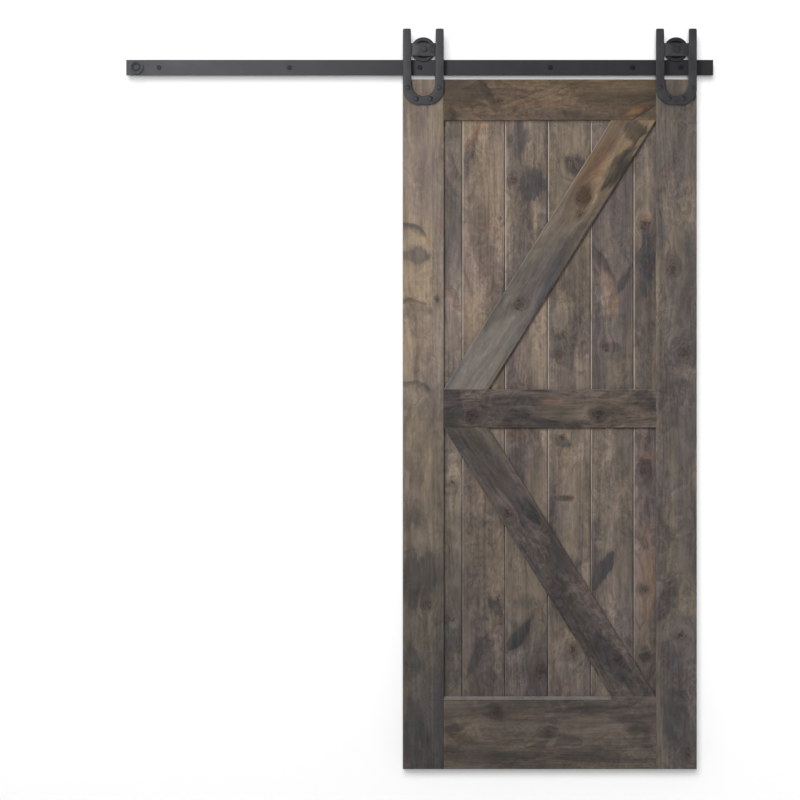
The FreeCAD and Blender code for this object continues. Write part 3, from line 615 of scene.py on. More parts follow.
BOARDS = [
    Board("stile_left", (0.119, 0.096, 0.076), seed=1.0, pith=(-14, 70), foot=LEFT_PAINTED_SHADE, clouds=(0.26, 0.62),
          grey_share=0.15, veins=0.4, figure=0.3, curl=0.26, stave=39.6,
          knots=((26, -1668, 9, 1.2), (54, -725, 6, 1.5)),
          arches=((-38, -486, 64, 40, 9, 0.9), (-30, -722, 60, 22, 6, 0.7), (-26, -978, 64, 26, 6, 0.8),
                  (-20, -1500, 56, 20, 5, 0.5)),
          patches=((-9, -586, 54, 24, 0, 0.9), (-28, -1592, 32, 84, 0, 0.85), (14, -1588, 30, 80, 0, 0.8),
                   (-27, -1397, 28, 56, 0, 0.6), (-27, -1861, 31, 53, 0, 0.6), (-24, -2078, 37, 106, 0, 0.6),
                   (-9, -760, 50, 24, 0, 0.6)),
          warms=((59, -495, 6, 34, 0, 0.8), (18, -535, 10, 22, -40, 0.6)),
          glows=((-12, -540, 34, 14, 0, 0.8), (-5, -1475, 44, 19, 70, 1.0), (1, -787, 40, 25, 0, 0.5),
                 (-12, -1023, 37, 22, 0, 0.5))),
    Board("stile_right", (0.088, 0.0745, 0.064), seed=2.0, pith=(24, 66), foot=(0.68, 0.71, 0.79),
          grey_share=0.4, figure=0.5,
          knots=((788, -628, 12, 1.8), (822, -886, 16, 1.3), (813, -1767, 12, 1.0), (835, -2137, 9, 1.5)),
          patches=((788, -277, 12, 56, 4, 0.8), (788, -619, 28, 53, 0, 0.8), (835, -902, 31, 50, 20, 0.4),
                   (754, -1023, 16, 56, 8, 0.7), (760, -1285, 22, 156, 0, 0.2), (763, -1664, 25, 68, 20, 0.8),
                   (800, -230, 74, 200, 0, 0.5), (773, -1829, 31, 44, 0, 0.6), (797, -2032, 44, 106, 0, 0.5)),
          warms=((832, -2137, 9, 16, 0, 0.8), (788, -628, 12, 28, 0, 0.6)),
          glows=((822, -1761, 34, 28, 0, 0.7), (822, -949, 37, 22, 0, 0.6), (773, -787, 25, 62, 0, 0.5),
                 (810, -1350, 40, 160, 0, 0.3))),
    Board("top_rail", (0.057, 0.0425, 0.0305), lean=LEVEL, seed=3.0, pith=(18, 75), grey_share=0.4,
          figure=0.5,
          knots=((244, -105, 7, 1.5),),
          patches=((206, -77, 12, 44, -28, 0.9), (94, -149, 25, 22, 0, 0.9), (698, -140, 4, 44, 58, 1.1),
                   (640, -150, 50, 8, 0, 0.5)),
          warms=((674, -136, 11, 50, 62, 1.0), (374, -110, 190, 5, 0, 0.6), (246, -106, 14, 8, 0, 0.7)),
          glows=((374, -115, 187, 12, 0, 0.3), (676, -132, 9, 44, 62, 0.6))),
    Board("bottom_rail", (0.051, 0.043, 0.0385), lean=LEVEL, seed=4.0, pith=(-30, 80), grey_share=0.5,
          clouds=(0.34, 0.66), figure=0.6,
          knots=((240, -2007, 9, 1.2), (396, -2069, 6, 1.2)),
          patches=((240, -2007, 19, 37, -30, 0.8), (100, -2063, 22, 19, 0, 0.7), (240, -2147, 37, 19, 0, 0.7),
                   (396, -2069, 28, 22, 0, 0.6), (685, -2078, 31, 50, -40, 0.6)),
          warms=((240, -2018, 16, 25, -30, 0.8), (94, -2060, 12, 12, 0, 0.6), (393, -2066, 16, 16, 0, 0.5)),
          glows=((436, -2010, 93, 19, 0, 0.3),)),
    Board("mid_rail", (0.049, 0.0405, 0.0365), lean=LEVEL, seed=5.0, pith=(14, 52), grey_share=0.8,
          contrast=1.5, veins=0.6, clouds=(0.32, 0.6), figure=0.45, curl=0.3,
          knots=((163, -1083, 12, 1.3), (561, -1079, 12, 1.5)),
          patches=((88, -1060, 46, 96, 0, 0.85), (281, -1039, 81, 22, 0, 0.7), (561, -1079, 37, 28, 0, 0.8),
                   (436, -1104, 93, 12, 0, 0.4), (685, -1036, 37, 16, 0, 0.7)),
          warms=((163, -1083, 16, 12, 0, 0.8), (561, -1079, 12, 12, 0, 0.7), (415, -1036, 28, 12, 0, 0.8)),
          glows=((415, -1036, 25, 12, 0, 0.9), (187, -1098, 37, 12, 0, 0.6))),
    Board("brace_upper", (0.111, 0.083, 0.0575), lean=brace_lean("brace_upper", True), seed=6.0,
          pith=(-20, 58), grey_share=0.3, worn_and_lit=0.3, width=BRACE_WIDTH, foot=(0.64, 0.78, 1.05),
          painted_shade_span=(-0.25, -0.7), figure=0.12, curl=0.22, soak=0.58, contrast=0.9,
          knots=((511, -398, 12, 2.0), (492, -454, 9, 1.3), (312, -737, 12, 1.3)),
          patches=((625, -302, 26, 88, 35, 1.2), (672, -200, 44, 36, 40, 0.97), (511, -404, 20, 42, 20, 0.9),
                   (420, -560, 45, 160, 33, 0.35), (318, -740, 14, 26, 60, 0.4)),
          warms=((511, -400, 20, 34, 20, 0.8), (540, -310, 26, 90, 33, 0.5), (318, -735, 12, 24, 60, 0.5)),
          glows=((692, -226, 6, 28, 44, 0.8), (560, -330, 22, 70, 33, 0.25), (187, -880, 25, 93, 33, 0.3))),
    Board("brace_lower", (0.051, 0.0435, 0.0395), lean=brace_lean("brace_lower", False), seed=7.4,
          pith=(18, 62), grey_share=0.6, contrast=1.2, figure=0.4, foot=(0.85, 0.86, 0.9),
          knots=((272, -1384, 9, 1.6), (611, -1845, 12, 1.3)),
          patches=((343, -1384, 22, 50, -34, 0.9), (110, -1176, 37, 31, 0, 0.6),
                   (598, -1845, 31, 93, -36, 0.7), (424, -1534, 16, 62, -34, 0.6)),
          warms=((197, -1319, 6, 62, -34, 0.9), (272, -1384, 16, 14, 0, 0.8), (520, -1640, 14, 90, -34, 0.4)),
          glows=((262, -1347, 12, 37, -34, 0.7), (328, -1487, 11, 105, -36, 0.8),
                 (480, -1625, 9, 28, 60, 0.7), (499, -1652, 22, 75, -34, 0.3))),
    plank(1, (0.111, 0.0915, 0.0765), pith=(30, 50), foot=PLANK_PAINTED_SHADE,
          knots=((100, -1291, 9, 1.3), (91, -1714, 9, 1.3)),
          patches=((103, -423, 28, 40, 0, 0.6), (88, -196, 16, 37, 0, 0.6), (100, -694, 9, 44, -35, 0.7),
                   (107, -1798, 28, 28, 35, 0.9), (103, -1745, 25, 25, 0, 0.6)),
          warms=((100, -712, 7, 44, -35, 0.9),),
          glows=((103, -1254, 19, 22, 30, 0.6), (103, -1736, 22, 12, 30, 0.45))),
    plank(2, (0.1075, 0.0855, 0.0705), pith=(-36, 48), foot=PLANK_PAINTED_SHADE, ripples=0.03, grey_share=0.3,
          veins=0.7, figure=0.36,
          knots=((244, -1658, 9, 1.4), (250, -470, 5, 0.8)),
          patches=((156, -258, 16, 68, 22, 0.8), (144, -320, 16, 37, 0, 0.6), (178, -1833, 16, 75, 27, 1.0),
                   (240, -1689, 19, 44, -35, 0.9), (187, -1415, 37, 16, 0, 0.6), (219, -818, 25, 93, 0, 0.3)),
          warms=((166, -220, 10, 53, 29, 0.9), (200, -500, 50, 6, 0, 0.5)),
          glows=((200, -1397, 31, 12, 20, 0.55), (200, -725, 25, 156, 0, 0.3))),
    plank(3, (0.097, 0.079, 0.0665), pith=(26, 52), foot=(0.56, 0.6, 0.67),
          knots=((296, -345, 9, 1.6), (380, -1882, 16, 1.4)),
          patches=((350, -362, 44, 56, 24, 1.2), (330, -352, 30, 34, 30, 1.0), (306, -227, 31, 56, 0, 0.9),
                   (312, -1767, 19, 81, 36, 1.2), (334, -1664, 40, 20, 0, 0.4), (303, -1148, 28, 19, 0, 0.5),
                   (306, -1882, 31, 25, 0, 0.5)),
          warms=((300, -345, 12, 14, 0, 0.9), (303, -1148, 28, 19, 0, 0.7)),
          glows=((374, -438, 25, 12, 40, 0.7), (356, -1783, 16, 62, 36, 0.5), (324, -725, 31, 93, 0, 0.3))),
    plank(4, (0.0865, 0.0715, 0.0605), pith=(-18, 50), foot=(0.92, 0.92, 0.95),
          knots=((480, -305, 12, 1.3), (443, -1151, 9, 0.8), (468, -1341, 6, 1.0), (477, -1814, 12, 1.2)),
          patches=((480, -301, 40, 28, 30, 1.0), (474, -314, 12, 56, -30, 0.9), (458, -678, 16, 44, -26, 0.7),
                   (488, -800, 16, 90, 8, 0.7), (470, -900, 10, 60, 0, 0.8), (430, -893, 30, 14, 0, 0.8),
                   (430, -830, 22, 12, 30, 0.6), (443, -1167, 34, 16, 20, 0.8), (440, -1341, 34, 8, 0, 0.9),
                   (474, -1829, 25, 44, 0, 0.6)),
          warms=((468, -1341, 19, 6, 0, 1.0), (436, -899, 25, 8, 10, 0.7)),
          glows=((434, -775, 30, 44, 12, 0.9), (436, -935, 30, 9, 20, 0.8), (444, -980, 34, 40, 0, 0.6),
                 (449, -1135, 28, 9, 30, 0.9), (436, -1534, 25, 93, 0, 0.3))),
    plank(5, (0.083, 0.0695, 0.0605), pith=(22, 48), grey_share=0.5, foot=(0.92, 0.93, 0.98),
          knots=((580, -868, 9, 1.2),),
          patches=((572, -612, 15, 64, -32, 1.05), (632, -668, 13, 62, 30, 1.0), (598, -874, 31, 17, 0, 0.8),
                   (600, -800, 50, 40, 0, 0.35), (612, -900, 40, 16, 0, 0.5), (570, -1565, 19, 68, 30, 1.2),
                   (561, -289, 19, 44, 20, 0.5), (617, -1254, 28, 87, 20, 0.5)),
          warms=((580, -868, 19, 12, 0, 0.6), (574, -640, 20, 60, -30, 0.5), (600, -720, 20, 60, 0, 0.6)),
          glows=((585, -700, 30, 66, -12, 0.85), (567, -1487, 28, 12, 25, 0.7),
                 (592, -1285, 22, 62, 0, 0.4))),
    plank(6, (0.081, 0.0675, 0.061), pith=(-28, 46), grey_share=0.4, veins=0.7, foot=(0.93, 0.95, 0.95),
          knots=((701, -488, 12, 1.0), (698, -1254, 9, 1.0), (701, -1627, 9, 1.0), (701, -1839, 12, 1.0)),
          patches=((704, -606, 28, 106, 0, 1.1), (701, -1254, 22, 44, 0, 0.7), (710, -1160, 12, 31, 20, 0.6),
                   (701, -1829, 22, 28, 0, 0.7), (685, -1627, 12, 22, 0, 0.6)),
          warms=((704, -468, 16, 20, 0, 0.9), (703, -1560, 27, 210, 0, 0.5), (704, -1215, 24, 84, 0, 0.5)),
          glows=((704, -460, 19, 31, 0, 0.9), (703, -1500, 25, 60, 0, 0.35), (698, -1207, 19, 12, 20, 0.6),
                 (700, -1660, 24, 40, 0, 0.3))),
]

WOOD_MATERIALS = {board.name: wood_material(board) for board in BOARDS}

RAIL_STEEL = steel_material("rail_coat", (0.0065, 0.0068, 0.0075), 0.03, (0.46, 0.5))
HANGER_STEEL = steel_material("hanger_coat", (0.012, 0.0122, 0.0135), 0.12, (0.46, 0.56), 0.4)
BOLT_STEEL = steel_material("bolt_black", (0.008, 0.008, 0.009), 0.08, (0.42, 0.52))
LAG_STEEL = steel_material("lag_black", (0.006, 0.006, 0.007), 0.02, (0.4, 0.5), 0.16)
STOP_STEEL = steel_material("stop_coat", (0.045, 0.047, 0.052), 0.2, (0.6, 0.7), 0.3)
WHEEL_STEEL = steel_material("wheel_black", (0.006, 0.006, 0.0065), 0.04, (0.4, 0.5))
BEARING_STEEL = steel_material("bearing_steel", (0.32, 0.32, 0.33), 0.0, (0.28, 0.4), 0.5, metallic=1.0)


# Pieces made from grids of points

def add_object(name, data):
    """A new object in the scene."""
    made = bpy.data.objects.new(name, data)
    bpy.context.scene.collection.objects.link(made)
    return made


def grid_faces(rows, columns, wrap_rows, start):
    """Quads between neighbours of a grid whose columns close on themselves, and whose rows may."""
    row = np.arange(rows if wrap_rows else rows - 1)[:, None]
    column = np.arange(columns)[None, :]
    next_row = (row + 1) % rows
    next_column = (column + 1) % columns
    quads = np.stack([row * columns + column, row * columns + next_column,
                      next_row * columns + next_column, next_row * columns + column], axis=-1)
    return quads.reshape(-1, 4) + start


def make_piece(prefix, node, grids, material, body):
    """One mesh in place of a CAD node, with poles merged and faces outward.

    Its grids are in mm, each given as (points, whether its rows close)."""
    points = []
    faces = []
    start = 0
    for grid, wrap_rows in grids:
        rows, columns = grid.shape[:2]
        points.append(grid.reshape(-1, 3) * MM)
        faces.append(grid_faces(rows, columns, wrap_rows, start))
        start += rows * columns
    name = prefix + "_" + node
    mesh = bpy.data.meshes.new(name)
    mesh.from_pydata(np.concatenate(points).tolist(), [], np.concatenate(faces).tolist())
    work = bmesh.new()
    work.from_mesh(mesh)
    bmesh.ops.remove_doubles(work, verts=work.verts, dist=1e-6)
    bmesh.ops.dissolve_degenerate(work, edges=work.edges, dist=1e-7)
    bmesh.ops.recalc_face_normals(work, faces=work.faces)
    work.to_mesh(mesh)
    work.free()
    mesh.shade_smooth()
    mesh.set_sharp_from_angle(angle=math.radians(32.0))
    mesh.materials.append(material)
    piece = add_object(name, mesh)
    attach(piece, body)
    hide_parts(node)


def eased(points, reach, steps=4):
    """A closed profile with each corner turned into a quadratic curve that starts reach before it.

    On the curve a point is (1-t)^2 of its start, 2t(1-t) of the corner and t^2 of its end."""
    corner = np.array(points, float)
    before = np.roll(corner, 1, axis=0) - corner
    after = np.roll(corner, -1, axis=0) - corner
    before_length = np.linalg.norm(before, axis=1, keepdims=True)
    after_length = np.linalg.norm(after, axis=1, keepdims=True)
    cut = np.minimum(reach, 0.45 * np.minimum(before_length, after_length))
    first = corner + before / before_length * cut
    last = corner + after / after_length * cut
    t = np.linspace(0.0, 1.0, steps + 1)[None, :, None]
    curve = (1 - t) ** 2 * first[:, None] + 2 * t * (1 - t) * corner[:, None] + t ** 2 * last[:, None]
    return curve.reshape(-1, 2)


# Angles of a turned shape, finely and coarsely, and the limit of a radius that no flats limit
TURNS = np.linspace(0.0, CIRCLE, 96, endpoint=False)
COARSE_TURNS = TURNS[::2]
QUARTER = math.pi / 2
UNLIMITED = 1e3


def turned(profile, x, z, flats=(), angle=TURNS):
    """Points of a shape turned about an axis along Y: radius and level from the profile, at each angle.

    Where a profile point has flats, a hexagon of that size limits the radius there: it reaches half its
    flats over the cosine of the angle from a flat's middle."""
    profile = np.array(profile, float)
    radius = np.repeat(profile[:, :1], len(angle), axis=1)
    size = np.zeros((len(profile), 1))
    size[:len(flats), 0] = flats
    from_flat = np.mod(angle, math.pi / 3) - math.pi / 6
    radius = np.minimum(radius, np.where(size > 0, size / 2 / np.cos(from_flat), UNLIMITED))
    level = np.repeat(profile[:, 1:], len(angle), axis=1)
    return np.stack([x + radius * np.cos(angle), level, z + radius * np.sin(angle)], axis=-1)


def threaded(x, z, before, thread, start, end, tip, flats=()):
    """A screw's points: the profile before its thread, eight rows a turn from start to end, and its tip.

    The thread is (radius, pitch, depth). From start to the tip the radius falls by depth times a triangle
    wave of level and angle, which fades in and out over one pitch."""
    thread_radius, pitch, depth = thread
    rows = [(thread_radius, y) for y in np.linspace(start, end, int(8 * (end - start) / pitch) + 1)]
    grid = turned(before + rows + tip, x, z, flats, COARSE_TURNS)
    stop = tip[-1][1]
    across = grid[..., 0] - x
    level = grid[..., 1]
    up = grid[..., 2] - z
    radius = np.hypot(across, up)
    phase = (level - start) / pitch + np.arctan2(up, across) / CIRCLE
    wave = np.abs(2 * np.mod(phase, 1.0) - 1)
    inside = (level > start) & (level < stop) & (radius > depth)
    ramp = np.clip(np.minimum(level - start, stop - level) / pitch, 0, 1)
    share = np.where(inside, 1 - depth * wave * ramp / np.maximum(radius, 1e-6), 1.0)
    return np.stack([x + across * share, level, z + up * share], axis=-1)


def hexagon_head(flats, seat, top):
    """Profile points of a hexagonal head from its seat to its top, chamfered from the land on its top."""
    land = flats / 2 * HEAD_LAND_SHARE
    corner = flats / math.sqrt(3) + 0.01
    way = 1 if top > seat else -1
    drop = (corner - land) * math.tan(HEAD_SLOPE) * way
    return [(corner - 0.3, seat), (corner, seat + 0.3 * way), (corner, top - drop), (land, top)]


# Turned and threaded fasteners, with sizes in mm; a thread is its radius, pitch and depth

HEAD_LAND_SHARE = 0.94
HEAD_SLOPE = math.radians(28.0)
HEAD_ROWS = 4
BOLT_RADIUS = 3.97
BOLT_FLATS = 12.7
BOLT_THREAD = (BOLT_RADIUS, 1.41, 0.55)
BOLT_HEAD_RADIUS = 7.95
BOLT_RIM = 0.6
NUT_BORE = 4.0
WASHER_THICKNESS = 1.6
LAG_THREAD = (3.8, 2.82, 0.75)
LAG_THREAD_START = 6.0
LAG_CONE = 8.0
STANDOFF_RADII = (12.7, 4.27)
AXLE_RADIUS = 6.35
AXLE_FLATS = 19.05
AXLE_THREAD = (AXLE_RADIUS, 1.95, 0.7)
AXLE_HOLE = 6.55
AXLE_NUT_BORE = 6.45
AXLE_NUT_COLLAR = 3.4
AXLE_SPACER_RADIUS = 9.5
AXLE_LEVEL = 56.05
STOP_RADIUS = 20.0
STOP_DISH_DEPTH = 13.0
STOP_HOLE = 4.27
STOP_THREAD_LENGTH = 8.0
SOCKET_FLATS = 6.0
SOCKET_DEPTH = 4.0

# Horseshoe hanger in mm
HANGER_WIDTH = 127.0
STRAP_WIDTH = 26.5
STRAP_THICKNESS = 9.525
LEG_TOP_WIDTH = 25.0
CORNER_RADIUS = 50.0
LEG_CORNER = 4.5
BAR_HEIGHT = 40.4
BAR_THICKNESS = 6.35
BAR_DROP = 1.5
BOLT_ANGLES = (-78.0, -26.0, 26.0, 78.0)
STRAP_FRONT_EASE = 1.7
STRAP_BACK_EASE = 0.5

# Half profiles of the wheel and its bearing in mm, from the bore out: (radius, level from the middle)
WHEEL_HALF = [(16.02, 6.0), (20.5, 6.0), (21.3, 4.0), (25.0, 4.0), (26.5, 11.1), (36.9, 11.1), (38.1, 9.4),
              (38.1, 6.1), (31.75, 3.7)]
BEARING_HALF = [(6.4, 6.0), (8.8, 6.0), (8.8, 5.2), (10.4, 5.3), (11.0, 5.65), (11.9, 5.65), (12.5, 5.3),
                (13.6, 5.2), (13.6, 6.0), (16.0, 6.0)]


def make_lag_screw(number):
    """A lag screw: hexagonal head, plain shank, coarse thread and point, on the axis of its CAD node."""
    node = "lag_screw_" + str(number)
    x, z, low, tip = span(node)
    rail_face = front("rail")
    head = hexagon_head(BOLT_FLATS, rail_face, low)[::-1]
    before = [(0.0, low)] + head + [(BOLT_RADIUS, rail_face), (BOLT_RADIUS, LAG_THREAD_START)]
    point = [(3.0, tip - LAG_CONE * 0.72), (2.0, tip - LAG_CONE * 0.4), (0.7, tip - 0.8), (0.0, tip)]
    grid = threaded(x, z, before, LAG_THREAD, LAG_THREAD_START, tip - LAG_CONE, point,
                    [0] + [BOLT_FLATS] * HEAD_ROWS)
    make_piece("threaded", node, [(grid, False)], LAG_STEEL, "wall_rail")


def bolt_places(side):
    """The hanger bolts' axes in mm, on a ring round the bottom of the horseshoe."""
    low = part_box("hanger_" + side)[0]
    middle = span("hanger_" + side)[0]
    level = low.z / MM + HANGER_WIDTH / 2
    radius = HANGER_WIDTH / 2 - STRAP_WIDTH / 2
    return [(middle + radius * math.sin(a), level - radius * math.cos(a)) for a in np.radians(BOLT_ANGLES)]


def make_hanger_bolts(side):
    """Four bolts: low elliptical domes on the strap, plain shanks, and threaded ends behind the door."""
    node = "hanger_bolts_" + side
    top, tip = span(node)[2:]
    strap = front("hanger_" + side)
    start = span("stile_left")[3] - 6.0
    rim = strap - BOLT_RIM
    dome = [(BOLT_HEAD_RADIUS * math.sin(a), rim - (rim - top) * math.cos(a))
            for a in np.linspace(0.0, QUARTER, 9)]
    before = dome + [(BOLT_HEAD_RADIUS, strap), (BOLT_RADIUS, strap), (BOLT_RADIUS, start)]
    end = [(3.2, tip), (0.0, tip)]
    grids = [(threaded(x, z, before, BOLT_THREAD, start, tip - 0.8, end), False) for x, z in bolt_places(side)]
    make_piece("domed", node, grids, BOLT_STEEL, "door")


def make_hanger_nuts(side):
    """Four washers with hexagonal nuts, bored for the bolts and chamfered on both faces."""
    node = "hanger_nuts_" + side
    seat, top = span(node)[2:]
    washer = seat + WASHER_THICKNESS
    profile = [(NUT_BORE, seat), (9.2, seat), (9.5, seat + 0.3), (9.5, washer - 0.3), (9.2, washer)]
    flats = [0] * len(profile) + [BOLT_FLATS] * HEAD_ROWS
    profile += hexagon_head(BOLT_FLATS, washer, top) + [(NUT_BORE + 0.6, top), (NUT_BORE, top - 0.6)]
    grids = [(turned(profile, x, z, flats, COARSE_TURNS), True) for x, z in bolt_places(side)]
    make_piece("chamfered", node, grids, BOLT_STEEL, "door")


def make_axle(side):
    """The wheel's bolt: hexagonal head, smooth shank, and thread at its rear end."""
    node = "axle_" + side
    x, z, low, tip = span(node)
    seat = front("hanger_" + side) + (STRAP_THICKNESS - BAR_THICKNESS)
    start = front("axle_nut_" + side) - 2.0
    head = hexagon_head(AXLE_FLATS, seat, low)[::-1]
    before = [(0.0, low)] + head + [(AXLE_RADIUS, seat), (AXLE_RADIUS, start)]
    grid = threaded(x, z, before, AXLE_THREAD, start, tip - 1.0, [(5.4, tip), (0.0, tip)],
                    [0] + [AXLE_FLATS] * HEAD_ROWS)
    make_piece("threaded", node, [(grid, False)], BOLT_STEEL, "door")


def make_axle_nut(side):
    """A lock nut: chamfered hexagon with a rounded collar behind it."""
    node = "axle_nut_" + side
    x, z, seat, top = span(node)
    shoulder = top - AXLE_NUT_COLLAR
    collar = [(8.5, shoulder), (8.5, top - 1.2), (8.2, top - 0.4), (7.6, top), (AXLE_NUT_BORE, top)]
    profile = [(AXLE_NUT_BORE, seat)] + hexagon_head(AXLE_FLATS, seat, shoulder) + collar
    grid = turned(profile, x, z, [0] + [AXLE_FLATS] * HEAD_ROWS)
    make_piece("collared", node, [(grid, True)], BOLT_STEEL, "door")


def make_turned(prefix, node, half, ease, material, body):
    """A piece turned from half a profile and its mirror image, with its corners eased by (reach, steps)."""
    x, z, low, high = span(node)
    middle = (low + high) / 2
    outline = half + [(r, -y) for r, y in reversed(half)]
    profile = eased([(r, middle - y) for r, y in outline], *ease)
    make_piece(prefix, node, [(turned(profile, x, z), True)], material, body)


def make_tube(node, outer, inner, material, body, slot):
    """A short tube with both rims rounded, between the ends of its CAD node."""
    x, z, low, high = span(node)
    profile = eased([(inner, low), (outer, low), (outer, high), (inner, high)], 1.0)
    make_piece("rounded", node, [(turned(profile, x, z, angle=COARSE_TURNS), True)], material, body)


def make_end_stop():
    """The round stop with its dish, and the socket bolt in the dish."""
    x, z, low, high = span("end_stop")
    floor = low + STOP_DISH_DEPTH
    dish = [(STOP_RADIUS, low + 0.6), (19.2, low), (18.0, low), (8.5, floor)]
    profile = eased([(STOP_HOLE, high), (STOP_RADIUS, high)] + dish + [(STOP_HOLE, floor)], 1.2)
    make_piece("rounded", "end_stop", [(turned(profile, x, z), True)], STOP_STEEL, "wall_rail")
    top, tip = span("end_stop_bolt")[2:]
    start = tip - STOP_THREAD_LENGTH
    socket = [(0.0, top + SOCKET_DEPTH), (3.47, top + SOCKET_DEPTH), (3.47, top)]
    head = [(5.7, top), (6.3, top + 0.25), (6.5, top + 0.8), (6.5, floor)]
    before = socket + head + [(BOLT_RADIUS, floor), (BOLT_RADIUS, start)]
    grid = threaded(x, z, before, BOLT_THREAD, start, tip - 0.8, [(3.2, tip), (0.0, tip)],
                    [0, SOCKET_FLATS, SOCKET_FLATS])
    make_piece("socket", "end_stop_bolt", [(grid, False)], STOP_STEEL, "wall_rail")


# Horseshoe hangers

def horseshoe_edges(middle, low, high):
    """The strap's inner and outer edge from one leg's top round the bottom to the other's, in mm.

    The inner edge is straight, then half a circle. The outer edge at the same angle lies on a square with
    rounded corners round the same centre: where the ray meets the corner's circle, it reaches
    d + sqrt(r^2 - (2k^2 - d^2)), with k the corner centre's offset and d its distance along the ray."""
    half = HANGER_WIDTH / 2
    inner = half - STRAP_WIDTH
    centre = low + half
    level = np.concatenate([[0.0], LEG_CORNER * (1 - np.cos(np.linspace(0.0, QUARTER, 7)[1:]))])
    level = np.concatenate([high - level[:-1], np.linspace(high - LEG_CORNER, centre, 14)])
    slim = (STRAP_WIDTH - LEG_TOP_WIDTH) * (level - centre) / (high - centre)
    top_gap = np.clip((level - (high - LEG_CORNER)) / LEG_CORNER, 0.0, 1.0)
    inset = LEG_CORNER * (1 - np.sqrt(1 - top_gap ** 2))
    left_in = np.stack([-(inner + slim + inset), level], axis=-1)
    left_out = np.stack([-(half - inset), level], axis=-1)
    angle = np.radians(np.linspace(180.0, 360.0, 73))[1:-1]
    c = np.cos(angle)
    s = np.sin(angle)
    k = half - CORNER_RADIUS
    d = k * (np.abs(c) + np.abs(s))
    on_corner = d + np.sqrt(CORNER_RADIUS ** 2 - (2 * k ** 2 - d ** 2))
    slope = np.abs(s) / np.maximum(np.abs(c), 1e-9)
    in_corner = (slope > k / half) & (slope < half / k)
    reach = np.where(in_corner, on_corner, half / np.maximum(np.abs(c), np.abs(s)))
    round_in = np.stack([inner * c, centre + inner * s], axis=-1)
    round_out = np.stack([reach * c, centre + reach * s], axis=-1)
    flip = np.array([-1.0, 1.0])
    edge_in = np.concatenate([left_in, round_in, left_in[::-1] * flip])
    edge_out = np.concatenate([left_out, round_out, left_out[::-1] * flip])
    return edge_in + (middle, 0.0), edge_out + (middle, 0.0)


def horseshoe_strap(edge_in, edge_out, strap_front, strap_back):
    """The strap: a section with rounded front edges carried along the horseshoe, closed at both leg tops."""
    way = edge_out - edge_in
    way = way / np.linalg.norm(way, axis=1, keepdims=True)
    turn = np.linspace(0.0, QUARTER, 6)
    inset = np.concatenate([STRAP_FRONT_EASE * (1 - np.sin(turn)), STRAP_BACK_EASE * (1 - np.cos(turn))])
    depth = np.concatenate([strap_front + STRAP_FRONT_EASE * (1 - np.cos(turn)),
                            strap_back - STRAP_BACK_EASE * (1 - np.sin(turn))])
    offset = inset[None, :, None]
    inner_side = edge_in[:, None] + way[:, None] * offset
    outer_side = edge_out[:, None] - way[:, None] * offset
    flat = np.concatenate([inner_side, outer_side[:, ::-1]], axis=1)
    depth = np.repeat(np.concatenate([depth, depth[::-1]])[None, :], len(flat), axis=0)
    grid = np.stack([flat[..., 0], depth, flat[..., 1]], axis=-1)
    first, last = [np.repeat(row.mean(axis=1, keepdims=True), grid.shape[1], axis=1)
                   for row in (grid[:1], grid[-1:])]
    return np.concatenate([first, grid, last])


def cross_bar(middle, bar_front, bar_back):
    """The bar between the legs, with the axle's hole: its outline's reach at each angle about the axle.

    A ray at an angle ends at the nearer of the bar's side, half_width over its cosine, and its top or
    foot, rise or drop over its sine. The rows carry that outline from the hole round the eased front."""
    half_width = HANGER_WIDTH / 2 - STRAP_WIDTH + 0.6
    rise = BAR_HEIGHT / 2 - BAR_DROP
    drop = BAR_HEIGHT / 2 + BAR_DROP
    upper = math.atan2(rise, half_width)
    lower = math.atan2(drop, half_width)
    corners = np.array([upper, math.pi - upper, math.pi + lower, CIRCLE - lower])
    angle = np.unique(np.concatenate([TURNS, corners]))
    sine = np.sin(angle)
    to_level = np.where(sine > 0, rise, drop) / np.maximum(np.abs(sine), 1e-9)
    reach = np.minimum(half_width / np.maximum(np.abs(np.cos(angle)), 1e-9), to_level)
    rows = [(0.0, bar_front), (-0.9, bar_front), (-0.25, bar_front + 0.25), (0.0, bar_front + 0.9),
            (0.0, bar_back), (0.0, bar_back)]
    radius = np.stack([reach + offset for offset, level in rows])
    radius[[0, -1]] = AXLE_HOLE
    level = np.repeat(np.array([level for offset, level in rows])[:, None], len(angle), axis=1)
    return np.stack([middle + radius * np.cos(angle), level, AXLE_LEVEL + radius * sine], axis=-1)


def weld_bead(x, y, low, high, seed):
    """A bead of weld up a seam: a tube whose radius ripples with its height and closes at both ends."""
    share = np.linspace(0.0, 1.0, 61)
    height = low + (high - low) * share
    rng = np.random.default_rng(seed)
    uneven = np.interp(share, np.linspace(0.0, 1.0, 12), rng.uniform(-0.25, 0.25, 12))
    radius = (2.3 + uneven + 0.22 * np.sin(CIRCLE * height / 2.6)) * np.sqrt(1 - (2 * share - 1) ** 8)
    angle = TURNS[::6]
    return np.stack([x + radius[:, None] * np.cos(angle), y + radius[:, None] * np.sin(angle),
                     np.repeat(height[:, None], len(angle), axis=1)], axis=-1)


